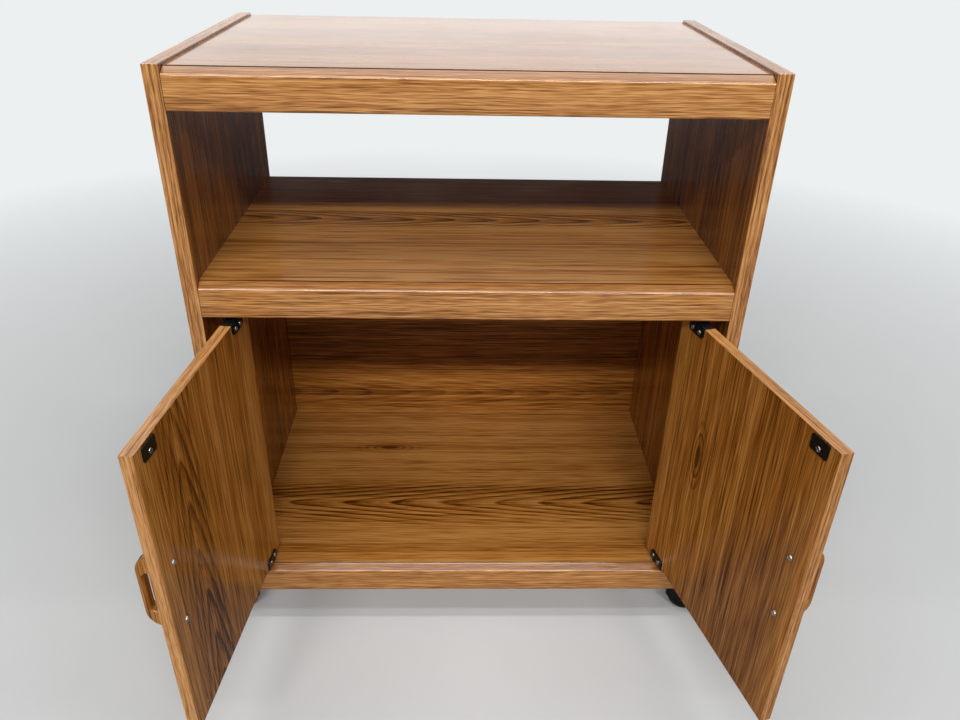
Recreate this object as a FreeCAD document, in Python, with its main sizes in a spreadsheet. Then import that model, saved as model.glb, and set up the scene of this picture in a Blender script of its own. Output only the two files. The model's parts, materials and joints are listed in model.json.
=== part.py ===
import FreeCAD, Part
import math
import os
import Sketcher
from types import SimpleNamespace
from FreeCAD import Placement, Rotation, Vector

# Audio-visual cart: an open equipment bay over a two-door cupboard, on four ball casters.
# X runs across the cart, Y from front to back and Z up from the floor; the origin lies on
# the floor under the middle of the carcass. The doors stand open on their centre pivots.

SIZES = {
    # carcass boards and the moulded nosings on their front edges
    "cart_width": 610.0,
    "cart_depth": 376.0,
    "side_height": 674.0,
    "side_lift": 55.0,
    "board": 16.0,
    "top_drop": 2.5,
    "shelf_drop": 222.0,
    "nosing_height": 40.5,
    "nosing_depth": 11.0,
    "nosing_step": 0.6,
    "nosing_bevel": 6.5,
    "nosing_round": 3.5,
    "nosing_ease": 2.0,
    "nosing_gap": 0.5,
    "header_depth": 40.0,
    "back_thickness": 3.2,
    "back_inset": 2.0,
    "back_drop": 2.5,
    # hidden joints of the carcass
    "dowel_diameter": 8.0,
    "dowel_length": 30.0,
    "dowel_side_depth": 10.0,
    "cam_diameter": 15.0,
    "cam_skin": 3.5,
    "cam_setback": 24.0,
    "cam_inset": 60.0,
    "bolt_diameter": 6.0,
    "bolt_side_depth": 11.0,
    "bolt_neck": 4.0,
    "slim_dowel_diameter": 5.0,
    "slim_dowel_length": 22.0,
    "slim_dowel_depth": 5.5,
    "slim_dowel_spread": 190.0,
    "nail_diameter": 1.6,
    "nail_length": 18.0,
    "nail_head_diameter": 5.0,
    "nail_head_height": 0.8,
    "nail_end_margin": 30.0,
    "nail_shelf_margin": 120.0,
    # doors
    "door_thickness": 12.7,
    "door_setback": 9.0,
    "door_side_gap": 4.0,
    "door_centre_gap": 8.0,
    "open_angle_left": 95.8,
    "open_angle_right": 104.4,
    "pilot_diameter": 2.6,
    "pilot_depth": 8.0,
    "pilot_from_edge": 25.6,
    "pilot_from_bottom": 13.4,
    # centre-pivot hinges
    "pivot_inset": 24.4,
    "hinge_plate": 2.0,
    "washer_thickness": 1.3,
    "washer_diameter": 10.0,
    "hinge_play": 0.2,
    "pin_diameter": 5.0,
    "door_leaf_length": 29.0,
    "door_leaf_setback": 19.0,
    "door_leaf_face_inset": 1.0,
    "door_leaf_drop": 12.0,
    "door_leaf_corner": 4.0,
    "door_leaf_screw_pitch": 14.0,
    "door_leaf_screw_drop": 6.5,
    "cabinet_leaf_width": 14.0,
    "cabinet_leaf_gap": 1.5,
    "cabinet_leaf_screw": 11.0,
    "cabinet_leaf_pitch": 9.0,
    # strike plates and magnetic catches
    "strike_width": 24.0,
    "strike_height": 16.0,
    "strike_thickness": 1.5,
    "strike_from_edge": 14.0,
    "strike_from_top": 2.0,
    "strike_corner": 2.0,
    "strike_screw_rise": 5.5,
    "catch_width": 20.0,
    "catch_depth": 20.0,
    "catch_height": 13.0,
    "catch_ear": 8.0,
    "catch_ear_thickness": 2.5,
    "catch_floor": 1.5,
    "catch_gap": 0.3,
    "magnet_width": 11.0,
    "magnet_height": 6.0,
    "magnet_depth": 12.0,
    "pole_thickness": 1.2,
    "pole_stick": 1.0,
    # door pulls
    "pull_length": 92.0,
    "pull_reach": 25.6,
    "pull_width": 12.0,
    "pull_round": 19.0,
    "pull_slot": 50.0,
    "pull_slot_depth": 19.4,
    "pull_slot_round": 6.0,
    "pull_edge": 2.5,
    "pull_from_edge": 24.0,
    "pull_screw_pitch": 76.0,
    "pull_screw_bite": 12.0,
    # screws
    "screw_diameter": 3.0,
    "screw_head": 6.0,
    "screw_head_height": 1.6,
    "screw_skin": 3.5,
    "leaf_screw_length": 14.0,
    "pull_screw_diameter": 4.0,
    "pull_screw_head": 7.0,
    "pull_screw_head_height": 1.8,
    # ball casters
    "caster_inset": 38.0,
    "caster_trail": 16.0,
    "wheel_diameter": 40.0,
    "wheel_width": 12.0,
    "wheel_round": 9.0,
    "wheel_cap_diameter": 18.0,
    "wheel_dish": 1.5,
    "web_width": 12.0,
    "web_gap": 0.8,
    "hub_diameter": 18.0,
    "axle_diameter": 6.0,
    "hood_gap": 1.0,
    "hood_wall": 1.5,
    "hood_mouth": 10.0,
    "boss_diameter": 12.0,
    "stem_diameter": 8.0,
    "stem_reach": 27.0,
    "stem_root": 2.0,
    "stem_groove": 0.6,
    "socket_wall": 1.2,
    "socket_depth": 30.0,
    "socket_flange": 14.0,
    "socket_flange_height": 1.2,
    "swivel_gap": 0.3,
    "turn_angle_front_left": 205.0,
    "turn_angle_front_right": -25.0,
    "turn_angle_rear_left": 118.0,
    "turn_angle_rear_right": 70.0,
    # clearances: round fits, running shafts, ends of blind holes
    "fit": 0.1,
    "running": 0.05,
    "slack": 0.5,
}

HANDS = {"left": 1, "right": -1}
LEVELS = {"upper": 1, "lower": -1}
CORNERS = {
    "front_left": (-1, -1),
    "front_right": (1, -1),
    "rear_left": (-1, 1),
    "rear_right": (1, 1),
}
TOWARD = {
    "+X": Rotation(Vector(0, 1, 0), 90),
    "-X": Rotation(Vector(0, 1, 0), -90),
    "+Y": Rotation(Vector(1, 0, 0), -90),
    "-Y": Rotation(Vector(1, 0, 0), 90),
    "+Z": Rotation(),
    "-Z": Rotation(Vector(1, 0, 0), 180),
}
SIDE_NAILS = 4
SHELF_NAILS = 3
NAILED_SHELVES = ("middle_shelf", "bottom_shelf")
LEAF_SCREWS = 2
ROUND_SHARE = 0.9
NEAR = 0.01


class Size:
    """A number of millimetres or degrees with the sheet formula that gives it."""

    def __init__(self, number, formula):
        self.number = number
        self.formula = formula

    def __add__(self, other):
        other = as_size(other)
        return Size(self.number + other.number, f"({self.formula} + {other.formula})")

    def __radd__(self, other):
        return as_size(other) + self

    def __sub__(self, other):
        other = as_size(other)
        return Size(self.number - other.number, f"({self.formula} - {other.formula})")

    def __rsub__(self, other):
        return as_size(other) - self

    def __mul__(self, factor):
        factor = as_size(factor)
        return Size(self.number * factor.number, f"({self.formula} * {factor.formula})")

    def __rmul__(self, factor):
        return self * factor

    def __truediv__(self, divisor):
        return Size(self.number / divisor, f"({self.formula} / {divisor})")

    def __neg__(self):
        return self * -1


def as_size(value):
    """Wrap a plain number as a Size."""
    if isinstance(value, Size):
        return value
    return Size(float(value), f"({float(value)})")


def number(value):
    """Plain number behind a Size or a number."""
    return as_size(value).number


def cosine(angle):
    """Cosine of an angle in degrees."""
    return Size(math.cos(math.radians(angle.number)), f"cos({angle.formula} * 1 deg)")


def sine(angle):
    """Sine of an angle in degrees."""
    return Size(math.sin(math.radians(angle.number)), f"sin({angle.formula} * 1 deg)")


doc = FreeCAD.newDocument("av_cart")
sheet = doc.addObject("Spreadsheet::Sheet", "sizes")
for row, (size_name, size_number) in enumerate(SIZES.items(), start=1):
    sheet.set(f"A{row}", size_name)
    sheet.set(f"B{row}", str(size_number))
    sheet.setAlias(f"B{row}", size_name)
doc.recompute()
D = SimpleNamespace(**{name: Size(value, f"sizes.{name}") for name, value in SIZES.items()})
nodes = []


def bind(item, prop, value):
    """Set a property and tie it to the sheet formula behind its value."""
    setattr(item, prop, number(value))
    if isinstance(value, Size):
        item.setExpression(prop, value.formula)


def place(item, spot, rotation=Rotation()):
    """Put an item at a spot whose coordinates are tied to the sheet."""
    item.Placement = Placement(Vector(*[number(value) for value in spot]), rotation)
    for axis, value in zip("xyz", spot):
        if isinstance(value, Size):
            item.setExpression(f"Placement.Base.{axis}", value.formula)


def node(item, label):
    """Name a finished sub-part and list it for export."""
    item.Label = label
    nodes.append(item)
    return item


def block(name, low, lengths):
    """Rectangular board from its low corner and its three lengths."""
    item = doc.addObject("Part::Box", name)
    for prop, value in zip(("Length", "Width", "Height"), lengths):
        bind(item, prop, value)
    place(item, low)
    return item


def rod(name, spot, toward, radius, length):
    """Plain cylinder that starts at a spot and runs along one axis."""
    item = doc.addObject("Part::Cylinder", name)
    bind(item, "Radius", radius)
    bind(item, "Height", length)
    place(item, spot, TOWARD[toward])
    return item


def cone(name, spot, toward, radius, far_radius, length):
    """Cone frustum that starts at a spot and runs along one axis."""
    item = doc.addObject("Part::Cone", name)
    bind(item, "Radius1", radius)
    bind(item, "Radius2", far_radius)
    bind(item, "Height", length)
    place(item, spot, TOWARD[toward])
    return item


def drilled(name, base, cutters):
    """Base with every cutter taken out of it."""
    tools = doc.addObject("Part::Compound", f"{name}_cutters")
    tools.Links = cutters
    item = doc.addObject("Part::Cut", name)
    item.Base = base
    item.Tool = tools
    return item


def new_body(name):
    """Empty body for sketched features."""
    return doc.addObject("PartDesign::Body", name)


def corner_marks(spots, rounds, index):
    """Where the straight runs beside a corner end, the arc's centre, and which way it turns."""
    spot = spots[index]
    back = (spots[index - 1] - spot).normalize()
    ahead = (spots[(index + 1) % len(spots)] - spot).normalize()
    half = back.getAngle(ahead) / 2
    radius = number(rounds[index])
    reach = radius / math.tan(half)
    centre = spot + (back + ahead).normalize() * (radius / math.sin(half))
    left_turn = back.cross(ahead).z < 0
    return spot + back * reach, spot + ahead * reach, centre, left_turn


def hold_point(sketch, geometry, end, corner):
    """Tie a point of a sketch to its two distances from the sketch's origin."""
    for kind, value in zip(("DistanceX", "DistanceY"), corner):
        held = sketch.addConstraint(
            Sketcher.Constraint(kind, -1, 1, geometry, end, number(value)))
        if isinstance(value, Size):
            sketch.setExpression(f"Constraints[{held}]", value.formula)


def outline(body, name, plane_role, corners, lift=0.0):
    """Closed outline on one of the body's own planes.

    Each corner is (across, up) or (across, up, round); lift raises the sketch off the plane.
    """
    sketch = body.newObject("Sketcher::SketchObject", name)
    plane = next(item for item in body.Origin.OriginFeatures if item.Role == plane_role)
    sketch.AttachmentSupport = [(plane, "")]
    sketch.MapMode = "FlatFace"
    sketch.AttachmentOffset = Placement(Vector(0, 0, number(lift)), Rotation())
    if isinstance(lift, Size):
        sketch.setExpression("AttachmentOffset.Base.z", lift.formula)
    count = len(corners)
    spots = [Vector(number(corner[0]), number(corner[1]), 0) for corner in corners]
    rounds = [corner[2] if len(corner) > 2 else 0.0 for corner in corners]
    marks = [corner_marks(spots, rounds, index) for index in range(count)]
    for index in range(count):
        start = marks[index][1]
        end = marks[(index + 1) % count][0]
        sketch.addGeometry(Part.LineSegment(start, end))
    for index, corner in enumerate(corners):
        before = (index - 1) % count
        if number(rounds[index]) == 0:
            sketch.addConstraint(Sketcher.Constraint("Coincident", before, 2, index, 1))
            hold_point(sketch, index, 1, corner)
        else:
            round_corner(sketch, before, index, spots[index], corner, marks[index])
    return sketch


def round_corner(sketch, before, after, spot, corner, mark):
    """Arc between two lines, tangent to both, with the sharp corner kept as a tied point."""
    arrive, leave, centre, left_turn = mark
    radius = corner[2]
    first, last = (arrive, leave) if left_turn else (leave, arrive)
    start = math.atan2(first.y - centre.y, first.x - centre.x)
    end = math.atan2(last.y - centre.y, last.x - centre.x)
    if end < start:
        end += 2 * math.pi
    circle = Part.Circle(centre, Vector(0, 0, 1), number(radius))
    arc = sketch.addGeometry(Part.ArcOfCircle(circle, start, end))
    sharp = sketch.addGeometry(Part.Point(spot), True)
    arrive_end, leave_end = (1, 2) if left_turn else (2, 1)
    sketch.addConstraint(Sketcher.Constraint("Tangent", before, 2, arc, arrive_end))
    sketch.addConstraint(Sketcher.Constraint("Tangent", arc, leave_end, after, 1))
    held = sketch.addConstraint(Sketcher.Constraint("Radius", arc, number(radius)))
    if isinstance(radius, Size):
        sketch.setExpression(f"Constraints[{held}]", radius.formula)
    for line in (before, after):
        sketch.addConstraint(Sketcher.Constraint("PointOnObject", sharp, 1, line))
    hold_point(sketch, sharp, 1, corner[:2])


def disc(body, name, plane_role, radius, lift=0.0):
    """Circle round the body's origin on one of its own planes."""
    sketch = body.newObject("Sketcher::SketchObject", name)
    plane = next(item for item in body.Origin.OriginFeatures if item.Role == plane_role)
    sketch.AttachmentSupport = [(plane, "")]
    sketch.MapMode = "FlatFace"
    sketch.AttachmentOffset = Placement(Vector(0, 0, number(lift)), Rotation())
    if isinstance(lift, Size):
        sketch.setExpression("AttachmentOffset.Base.z", lift.formula)
    ring = sketch.addGeometry(Part.Circle(Vector(), Vector(0, 0, 1), number(radius)))
    sketch.addConstraint(Sketcher.Constraint("Coincident", ring, 3, -1, 1))
    held = sketch.addConstraint(Sketcher.Constraint("Radius", ring, number(radius)))
    sketch.setExpression(f"Constraints[{held}]", radius.formula)
    return sketch


def pad(body, sketch, length, side="One side"):
    """Raise a sketch into a solid along its plane's normal, or evenly to both sides."""
    feature = body.newObject("PartDesign::Pad", f"{body.Name}_pad")
    feature.Profile = sketch
    feature.SideType = side
    bind(feature, "Length", length)
    return feature


def pocket(body, sketch, depth, reverse=False):
    """Cut a sketch into the body and make sure that it takes material away."""
    doc.recompute()
    before = body.Shape.Volume
    feature = body.newObject("PartDesign::Pocket", f"{body.Name}_pocket")
    feature.Profile = sketch
    feature.Reversed = reverse
    bind(feature, "Length", depth)
    doc.recompute()
    if body.Shape.Volume >= before:
        raise RuntimeError(f"the pocket in {body.Name} cuts nothing")
    return feature


def revolve(body, sketch, axis, angle=360.0):
    """Turn a sketch about one of its own axes, evenly to both sides of its plane."""
    feature = body.newObject("PartDesign::Revolution", f"{body.Name}_turn")
    feature.Profile = sketch
    feature.ReferenceAxis = (sketch, [axis])
    feature.Angle = angle
    feature.Midplane = angle < 360.0
    return feature


def fillet(body, feature, radius, chosen):
    """Round the chosen edges of a body's last feature."""
    doc.recompute()
    names = [f"Edge{index}" for index, edge in enumerate(feature.Shape.Edges, start=1)
             if chosen(edge)]
    rounding = body.newObject("PartDesign::Fillet", f"{body.Name}_fillet")
    rounding.Base = (feature, names)
    bind(rounding, "Radius", radius)
    return rounding


def spot_at(spot, toward="+Z"):
    """Placement of a fastener: where its head sits and which way its tip points."""
    return Placement(Vector(*[number(value) for value in spot]), TOWARD[toward])


def group(label, master, placements, seat=Placement()):
    """One node of identical pieces, each a copy of the master at its own place."""
    copies = []
    for placement in placements:
        copy = master.Shape.copy()
        copy.Placement = placement
        copies.append(copy)
    item = doc.addObject("Part::Feature", label)
    item.Shape = Part.makeCompound(copies)
    item.Placement = seat
    return node(item, label)


# places that several pieces share
half_width = D.cart_width / 2
inner_half = half_width - D.board
inner_width = inner_half * 2
side_middle = half_width - D.board / 2
front = -D.cart_depth / 2
rear = D.cart_depth / 2
panel_front = front + D.nosing_depth
panel_depth = D.cart_depth - D.nosing_depth
side_top = D.side_lift + D.side_height
top_surface = side_top - D.top_drop
shelf_top = side_top - D.shelf_drop
floor_top = D.side_lift + D.nosing_height
opening_top = shelf_top - D.nosing_height
header_height = D.nosing_height - D.board
panel_tops = {"top_panel": top_surface, "middle_shelf": shelf_top, "bottom_shelf": floor_top}
nosing_of = {"top_panel": "top_nosing", "middle_shelf": "middle_nosing",
             "bottom_shelf": "bottom_nosing"}

hinge_stack = D.hinge_plate * 2 + D.washer_thickness + D.hinge_play
door_top = opening_top - hinge_stack
door_bottom = floor_top + hinge_stack
door_height = door_top - door_bottom
door_width = (inner_width - D.door_side_gap * 2 - D.door_centre_gap) / 2
pivot_half = inner_half - D.door_side_gap - D.pivot_inset
pivot_y = front + D.door_setback + D.door_thickness / 2
door_face = D.door_thickness / 2
free_edge = door_width - D.pivot_inset
door_middle = (door_top + door_bottom) / 2
door_turn = {"left": -D.open_angle_left, "right": D.open_angle_right}

bolt_spots = (panel_front + D.cam_inset, rear - D.cam_inset)
dowel_spot = (panel_front + rear) / 2
slim_spots = (-D.slim_dowel_spread, as_size(0.0), D.slim_dowel_spread)
header_middle = panel_front + D.header_depth / 2
caster_rows = {-1: front + D.caster_inset, 1: rear - D.caster_inset}
socket_outer = D.stem_diameter + (D.running + D.socket_wall) * 2

nail_bite = D.nail_length - D.back_thickness
back_bottom = D.side_lift + D.back_inset
back_top = shelf_top - D.back_drop
strike_centre = free_edge - D.strike_from_edge - D.strike_width / 2
strike_top = door_top - D.strike_from_top
strike_bottom = strike_top - D.strike_height
strike_screw_z = strike_bottom + D.strike_screw_rise
catch_x = D.door_centre_gap / 2 + D.strike_from_edge + D.strike_width / 2
catch_front = pivot_y + door_face + D.strike_thickness + D.catch_gap + D.pole_stick
catch_bottom = opening_top - D.catch_height
catch_screw_reach = (D.catch_width + D.catch_ear) / 2
catch_screw_y = catch_front + D.catch_depth / 2
pull_x = free_edge - D.pull_from_edge
leaf_start = D.door_leaf_setback - D.pivot_inset
leaf_middle = leaf_start + D.door_leaf_length / 2


def side_nails(sign):
    """Nails of the back panel down the rear edge of one side."""
    low = back_bottom + D.nail_end_margin
    high = back_top - D.nail_end_margin
    return [(side_middle * sign, low + (high - low) * (step / (SIDE_NAILS - 1)))
            for step in range(SIDE_NAILS)]


def shelf_nails(panel):
    """Nails of the back panel along the rear edge of one shelf."""
    reach = inner_half - D.nail_shelf_margin
    return [(reach * (2 * step / (SHELF_NAILS - 1) - 1), panel_tops[panel] - D.board / 2)
            for step in range(SHELF_NAILS)]


def all_nails():
    """Every nail of the back panel, as places across and up."""
    return (side_nails(-1) + side_nails(1)
            + [spot for panel in NAILED_SHELVES for spot in shelf_nails(panel)])


def nail_holes(spots):
    """Cutters in a board's rear edge for its nails."""
    return [rod("nail_hole", (x, rear, z), "-Y", D.nail_diameter / 2 + D.running, nail_bite + D.slack)
            for x, z in spots]


def make_side(name, sign):
    """Side board with blind holes for cam bolts and dowels, caster sockets and back nails."""
    low_x = -half_width if sign < 0 else inner_half
    base = block(f"{name}_board", (low_x, front, D.side_lift),
                 (D.board, D.cart_depth, D.side_height))
    into = "+X" if sign > 0 else "-X"
    cutters = []
    for top in panel_tops.values():
        level = top - D.board / 2
        for y in bolt_spots:
            cutters.append(rod("bolt_hole", (inner_half * sign, y, level), into,
                               D.bolt_diameter / 2 + D.fit, D.bolt_side_depth + D.slack))
        cutters.append(rod("dowel_hole", (inner_half * sign, dowel_spot, level), into,
                           D.dowel_diameter / 2 + D.fit, D.dowel_side_depth + D.slack))
    for y in caster_rows.values():
        cutters.append(rod("socket_hole", (side_middle * sign, y, D.side_lift), "+Z",
                           socket_outer / 2 + D.fit, D.socket_depth + D.slack))
    cutters += nail_holes(side_nails(sign))
    node(drilled(name, base, cutters), name)


def panel_cutters(top):
    """Holes that every horizontal panel has: cam pockets, end bores and nosing dowels."""
    level = top - D.board / 2
    cutters = []
    for sign, into in ((-1, "+X"), (1, "-X")):
        end = inner_half * sign
        for y in bolt_spots:
            cutters.append(rod("bolt_bore", (end, y, level), into,
                               D.bolt_diameter / 2 + D.fit, D.cam_setback))
            cutters.append(rod("cam_pocket", (end - D.cam_setback * sign, y, top - D.board), "+Z",
                               D.cam_diameter / 2 + D.fit, D.board - D.cam_skin + D.slack))
        cutters.append(rod("dowel_bore", (end, dowel_spot, level), into, D.dowel_diameter / 2 + D.fit,
                           D.dowel_length - D.dowel_side_depth + D.slack))
    for x in slim_spots:
        cutters.append(rod("slim_bore", (x, panel_front, level), "+Y",
                           D.slim_dowel_diameter / 2 + D.fit,
                           D.slim_dowel_length - D.slim_dowel_depth + D.slack))
    return cutters


def make_panel(name):
    """Top, middle shelf or bottom shelf between the sides."""
    top = panel_tops[name]
    base = block(f"{name}_board", (-inner_half, panel_front, top - D.board),
                 (inner_width, panel_depth, D.board))
    cutters = panel_cutters(top)
    if name in NAILED_SHELVES:
        cutters += nail_holes(shelf_nails(name))
    if name == "middle_shelf":
        for x in slim_spots:
            cutters.append(rod("header_bore", (x, header_middle, top - D.board), "+Z",
                               D.slim_dowel_diameter / 2 + D.fit, D.slim_dowel_depth + D.slack))
    if name == "bottom_shelf":
        for x in cabinet_screw_spots():
            cutters.append(rod("leaf_screw_bore", (x, pivot_y, top), "-Z",
                               D.screw_diameter / 2 + D.fit, D.leaf_screw_length))
    node(drilled(name, base, cutters), name)


def make_nosing(panel):
    """Moulded front edge of a panel: a strip bevelled down from the seam and held by slim dowels."""
    name = nosing_of[panel]
    top = panel_tops[panel]
    bottom = top - D.nosing_height
    body = new_body(f"{name}_strip")
    profile = outline(body, f"{name}_profile", "YZ_Plane", [
        (panel_front, bottom),
        (panel_front, top - D.nosing_step),
        (front, top - D.nosing_bevel, D.nosing_round),
        (front, bottom, D.nosing_ease),
    ])
    pad(body, profile, inner_width - D.nosing_gap * 2, "Symmetric")
    cutters = [rod("slim_hole", (x, panel_front, top - D.board / 2), "-Y",
                   D.slim_dowel_diameter / 2 + D.fit, D.slim_dowel_depth + D.slack)
               for x in slim_spots]
    node(drilled(name, body, cutters), name)


def cabinet_screw_spots():
    """Screws of the cabinet leaves across the cart, two beside each pivot."""
    spots = []
    for sign in HANDS.values():
        for step in range(LEAF_SCREWS):
            spots.append((pivot_half + D.cabinet_leaf_screw + D.cabinet_leaf_pitch * step) * sign)
    return spots


def catch_screw_spots():
    """Screws of the magnetic catches across the cart."""
    return [catch_x * sign + catch_screw_reach * side for sign in HANDS.values() for side in (-1, 1)]


def make_header():
    """Rail under the middle shelf that carries the upper hinges and the catches."""
    base = block("header_strip", (-inner_half + D.nosing_gap, panel_front, opening_top),
                 (inner_width - D.nosing_gap * 2, D.header_depth, header_height))
    radius = D.screw_diameter / 2 + D.fit
    cutters = [rod("leaf_screw_hole", (x, pivot_y, opening_top), "+Z", radius, D.leaf_screw_length)
               for x in cabinet_screw_spots()]
    cutters += [rod("catch_screw_hole", (x, catch_screw_y, opening_top), "+Z", radius,
                    D.leaf_screw_length) for x in catch_screw_spots()]
    cutters += [rod("header_dowel_hole", (x, header_middle, opening_top + header_height), "-Z",
                    D.slim_dowel_diameter / 2 + D.fit,
                    D.slim_dowel_length - D.slim_dowel_depth + D.slack) for x in slim_spots]
    node(drilled("header_rail", base, cutters), "header_rail")


def make_back():
    """Thin panel nailed over the back of the cupboard; the bay above it stays open."""
    base = block("back_sheet", (-half_width + D.back_inset, rear, back_bottom),
                 ((half_width - D.back_inset) * 2, D.back_thickness, back_top - back_bottom))
    cutters = [rod("nail_clearance", (x, rear, z), "+Y", D.nail_diameter / 2 + D.running,
                   D.back_thickness) for x, z in all_nails()]
    node(drilled("back_panel", base, cutters), "back_panel")


def turned(name, profile):
    """Fastener turned about its own axis; the tip points along +Z, the head sits at zero."""
    body = new_body(name)
    revolve(body, outline(body, f"{name}_profile", "XZ_Plane", profile), "V_Axis")
    return body


def pan_screw(name, diameter, head, head_height, length):
    """Round-headed screw whose head stands below zero and whose shank runs up from it."""
    return turned(name, [
        (as_size(0.0), -head_height),
        (head / 2, -head_height, head_height * ROUND_SHARE),
        (head / 2, as_size(0.0)),
        (diameter / 2, as_size(0.0)),
        (diameter / 2, length - diameter),
        (as_size(0.0), length),
    ])


def make_joints():
    """Dowels, cam bolts, cam locks and nails that hold the carcass together."""
    ease = D.slack * 2
    dowel = turned("dowel_master", [
        (as_size(0.0), as_size(0.0)),
        (D.dowel_diameter / 2 - ease, as_size(0.0)),
        (D.dowel_diameter / 2, ease),
        (D.dowel_diameter / 2, D.dowel_length - ease),
        (D.dowel_diameter / 2 - ease, D.dowel_length),
        (as_size(0.0), D.dowel_length),
    ])
    slim = rod("slim_dowel_master", (0, 0, 0), "+Z", D.slim_dowel_diameter / 2, D.slim_dowel_length)
    bolt_length = D.bolt_side_depth + D.cam_setback + D.bolt_neck
    neck_start = D.bolt_side_depth + D.cam_setback - D.bolt_neck
    bolt = turned("bolt_master", [
        (as_size(0.0), as_size(0.0)),
        (D.bolt_diameter / 2, as_size(0.0)),
        (D.bolt_diameter / 2, neck_start - D.bolt_neck),
        (D.bolt_diameter / 4, neck_start - D.bolt_neck),
        (D.bolt_diameter / 4, neck_start + D.bolt_neck),
        (D.bolt_diameter / 2 - D.slack, neck_start + D.bolt_neck),
        (D.bolt_diameter / 2 - D.slack, bolt_length),
        (as_size(0.0), bolt_length),
    ])
    cam_height = D.board - D.cam_skin
    disc_blank = rod("cam_blank", (0, 0, 0), "+Z", D.cam_diameter / 2, cam_height)
    throat = rod("cam_throat", (-D.cam_diameter / 2, 0, D.board / 2), "+X",
                 D.bolt_diameter / 2 + D.fit, D.cam_diameter / 2 + D.bolt_neck + D.slack)
    cam = drilled("cam_master", disc_blank, [throat])
    nail = turned("nail_master", [
        (as_size(0.0), -D.nail_head_height),
        (D.nail_head_diameter / 2, -D.nail_head_height),
        (D.nail_head_diameter / 2, as_size(0.0)),
        (D.nail_diameter / 2, as_size(0.0)),
        (D.nail_diameter / 2, D.nail_length - D.nail_diameter),
        (as_size(0.0), D.nail_length),
    ])
    doc.recompute()

    dowels, bolts, cams, slims = [], [], [], []
    for panel, top in panel_tops.items():
        level = top - D.board / 2
        for sign, inward in ((-1, "+X"), (1, "-X")):
            dowel_end = (inner_half + D.dowel_side_depth) * sign
            dowels.append(spot_at((dowel_end, dowel_spot, level), inward))
            for y in bolt_spots:
                bolts.append(spot_at(((inner_half + D.bolt_side_depth) * sign, y, level), inward))
                turn = Rotation(Vector(0, 0, 1), 0 if sign < 0 else 180)
                seat = spot_at(((inner_half - D.cam_setback) * sign, y, top - D.board))
                cams.append(Placement(seat.Base, turn))
        for x in slim_spots:
            slims.append(spot_at((x, panel_front - D.slim_dowel_depth, level), "+Y"))
    for x in slim_spots:
        header_end = shelf_top - D.board + D.slim_dowel_depth
        slims.append(spot_at((x, header_middle, header_end), "-Z"))
    group("shelf_dowels", dowel, dowels)
    group("nosing_dowels", slim, slims)
    group("cam_bolts", bolt, bolts)
    group("cam_locks", cam, cams)
    nails = [spot_at((x, rear + D.back_thickness, z), "-Y") for x, z in all_nails()]
    group("back_nails", nail, nails)


def make_cabinet_leaf(level_name, up, hand_name, hand):
    """Fixed half of a centre-pivot hinge: a flat leaf that reaches from the pivot to the side."""
    name = f"cabinet_leaf_{level_name}_{hand_name}"
    seat = opening_top if up > 0 else floor_top
    low = seat - D.hinge_plate if up > 0 else seat
    half = D.cabinet_leaf_width / 2
    outer = -(D.door_side_gap + D.pivot_inset - D.cabinet_leaf_gap) * hand
    inner = half * hand
    body = new_body(f"{name}_plate")
    profile = outline(body, f"{name}_profile", "XY_Plane", [
        (outer, -half),
        (inner, -half, half * ROUND_SHARE),
        (inner, half, half * ROUND_SHARE),
        (outer, half),
    ], low)
    pad(body, profile, D.hinge_plate)
    cutters = [rod("pin_hole", (0, 0, low), "+Z", D.pin_diameter / 2 + D.running, D.hinge_plate)]
    face = low if up > 0 else low + D.hinge_plate
    into = "+Z" if up > 0 else "-Z"
    for step in range(LEAF_SCREWS):
        x = -(D.cabinet_leaf_screw + D.cabinet_leaf_pitch * step) * hand
        cutters.append(rod("shank_hole", (x, 0, face), into, D.screw_diameter / 2 + D.fit,
                           D.hinge_plate))
        cutters.append(cone("sink", (x, 0, face), into, D.screw_head / 2 + D.fit,
                            D.screw_diameter / 2 + D.fit, D.screw_head_height))
    item = drilled(name, body, cutters)
    place(item, (-pivot_half * hand, pivot_y, 0))
    node(item, name)


def make_hinge_fasteners():
    """Pins, washers and countersunk screws of the cabinet leaves."""
    pin = rod("pin_master", (0, 0, 0), "+Z", D.pin_diameter / 2, hinge_stack - D.hinge_play)
    ring = rod("washer_blank", (0, 0, 0), "+Z", D.washer_diameter / 2, D.washer_thickness)
    bore = rod("washer_bore", (0, 0, 0), "+Z", D.pin_diameter / 2 + D.running, D.washer_thickness)
    washer = drilled("washer_master", ring, [bore])
    countersunk = turned("leaf_screw_master", [
        (as_size(0.0), as_size(0.0)),
        (D.screw_head / 2, as_size(0.0)),
        (D.screw_diameter / 2, D.screw_head_height),
        (D.screw_diameter / 2, D.leaf_screw_length - D.screw_diameter),
        (as_size(0.0), D.leaf_screw_length),
    ])
    doc.recompute()
    pins, washers, screws = [], [], []
    for sign in HANDS.values():
        x = pivot_half * sign
        pins.append(spot_at((x, pivot_y, door_top + D.hinge_play)))
        pins.append(spot_at((x, pivot_y, floor_top)))
        washers.append(spot_at((x, pivot_y, opening_top - D.hinge_plate - D.washer_thickness)))
        washers.append(spot_at((x, pivot_y, floor_top + D.hinge_plate)))
    for x in cabinet_screw_spots():
        screws.append(spot_at((x, pivot_y, opening_top - D.hinge_plate), "+Z"))
        screws.append(spot_at((x, pivot_y, floor_top + D.hinge_plate), "-Z"))
    group("hinge_pins", pin, pins)
    group("hinge_washers", washer, washers)
    group("cabinet_leaf_screws", countersunk, screws)


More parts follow.
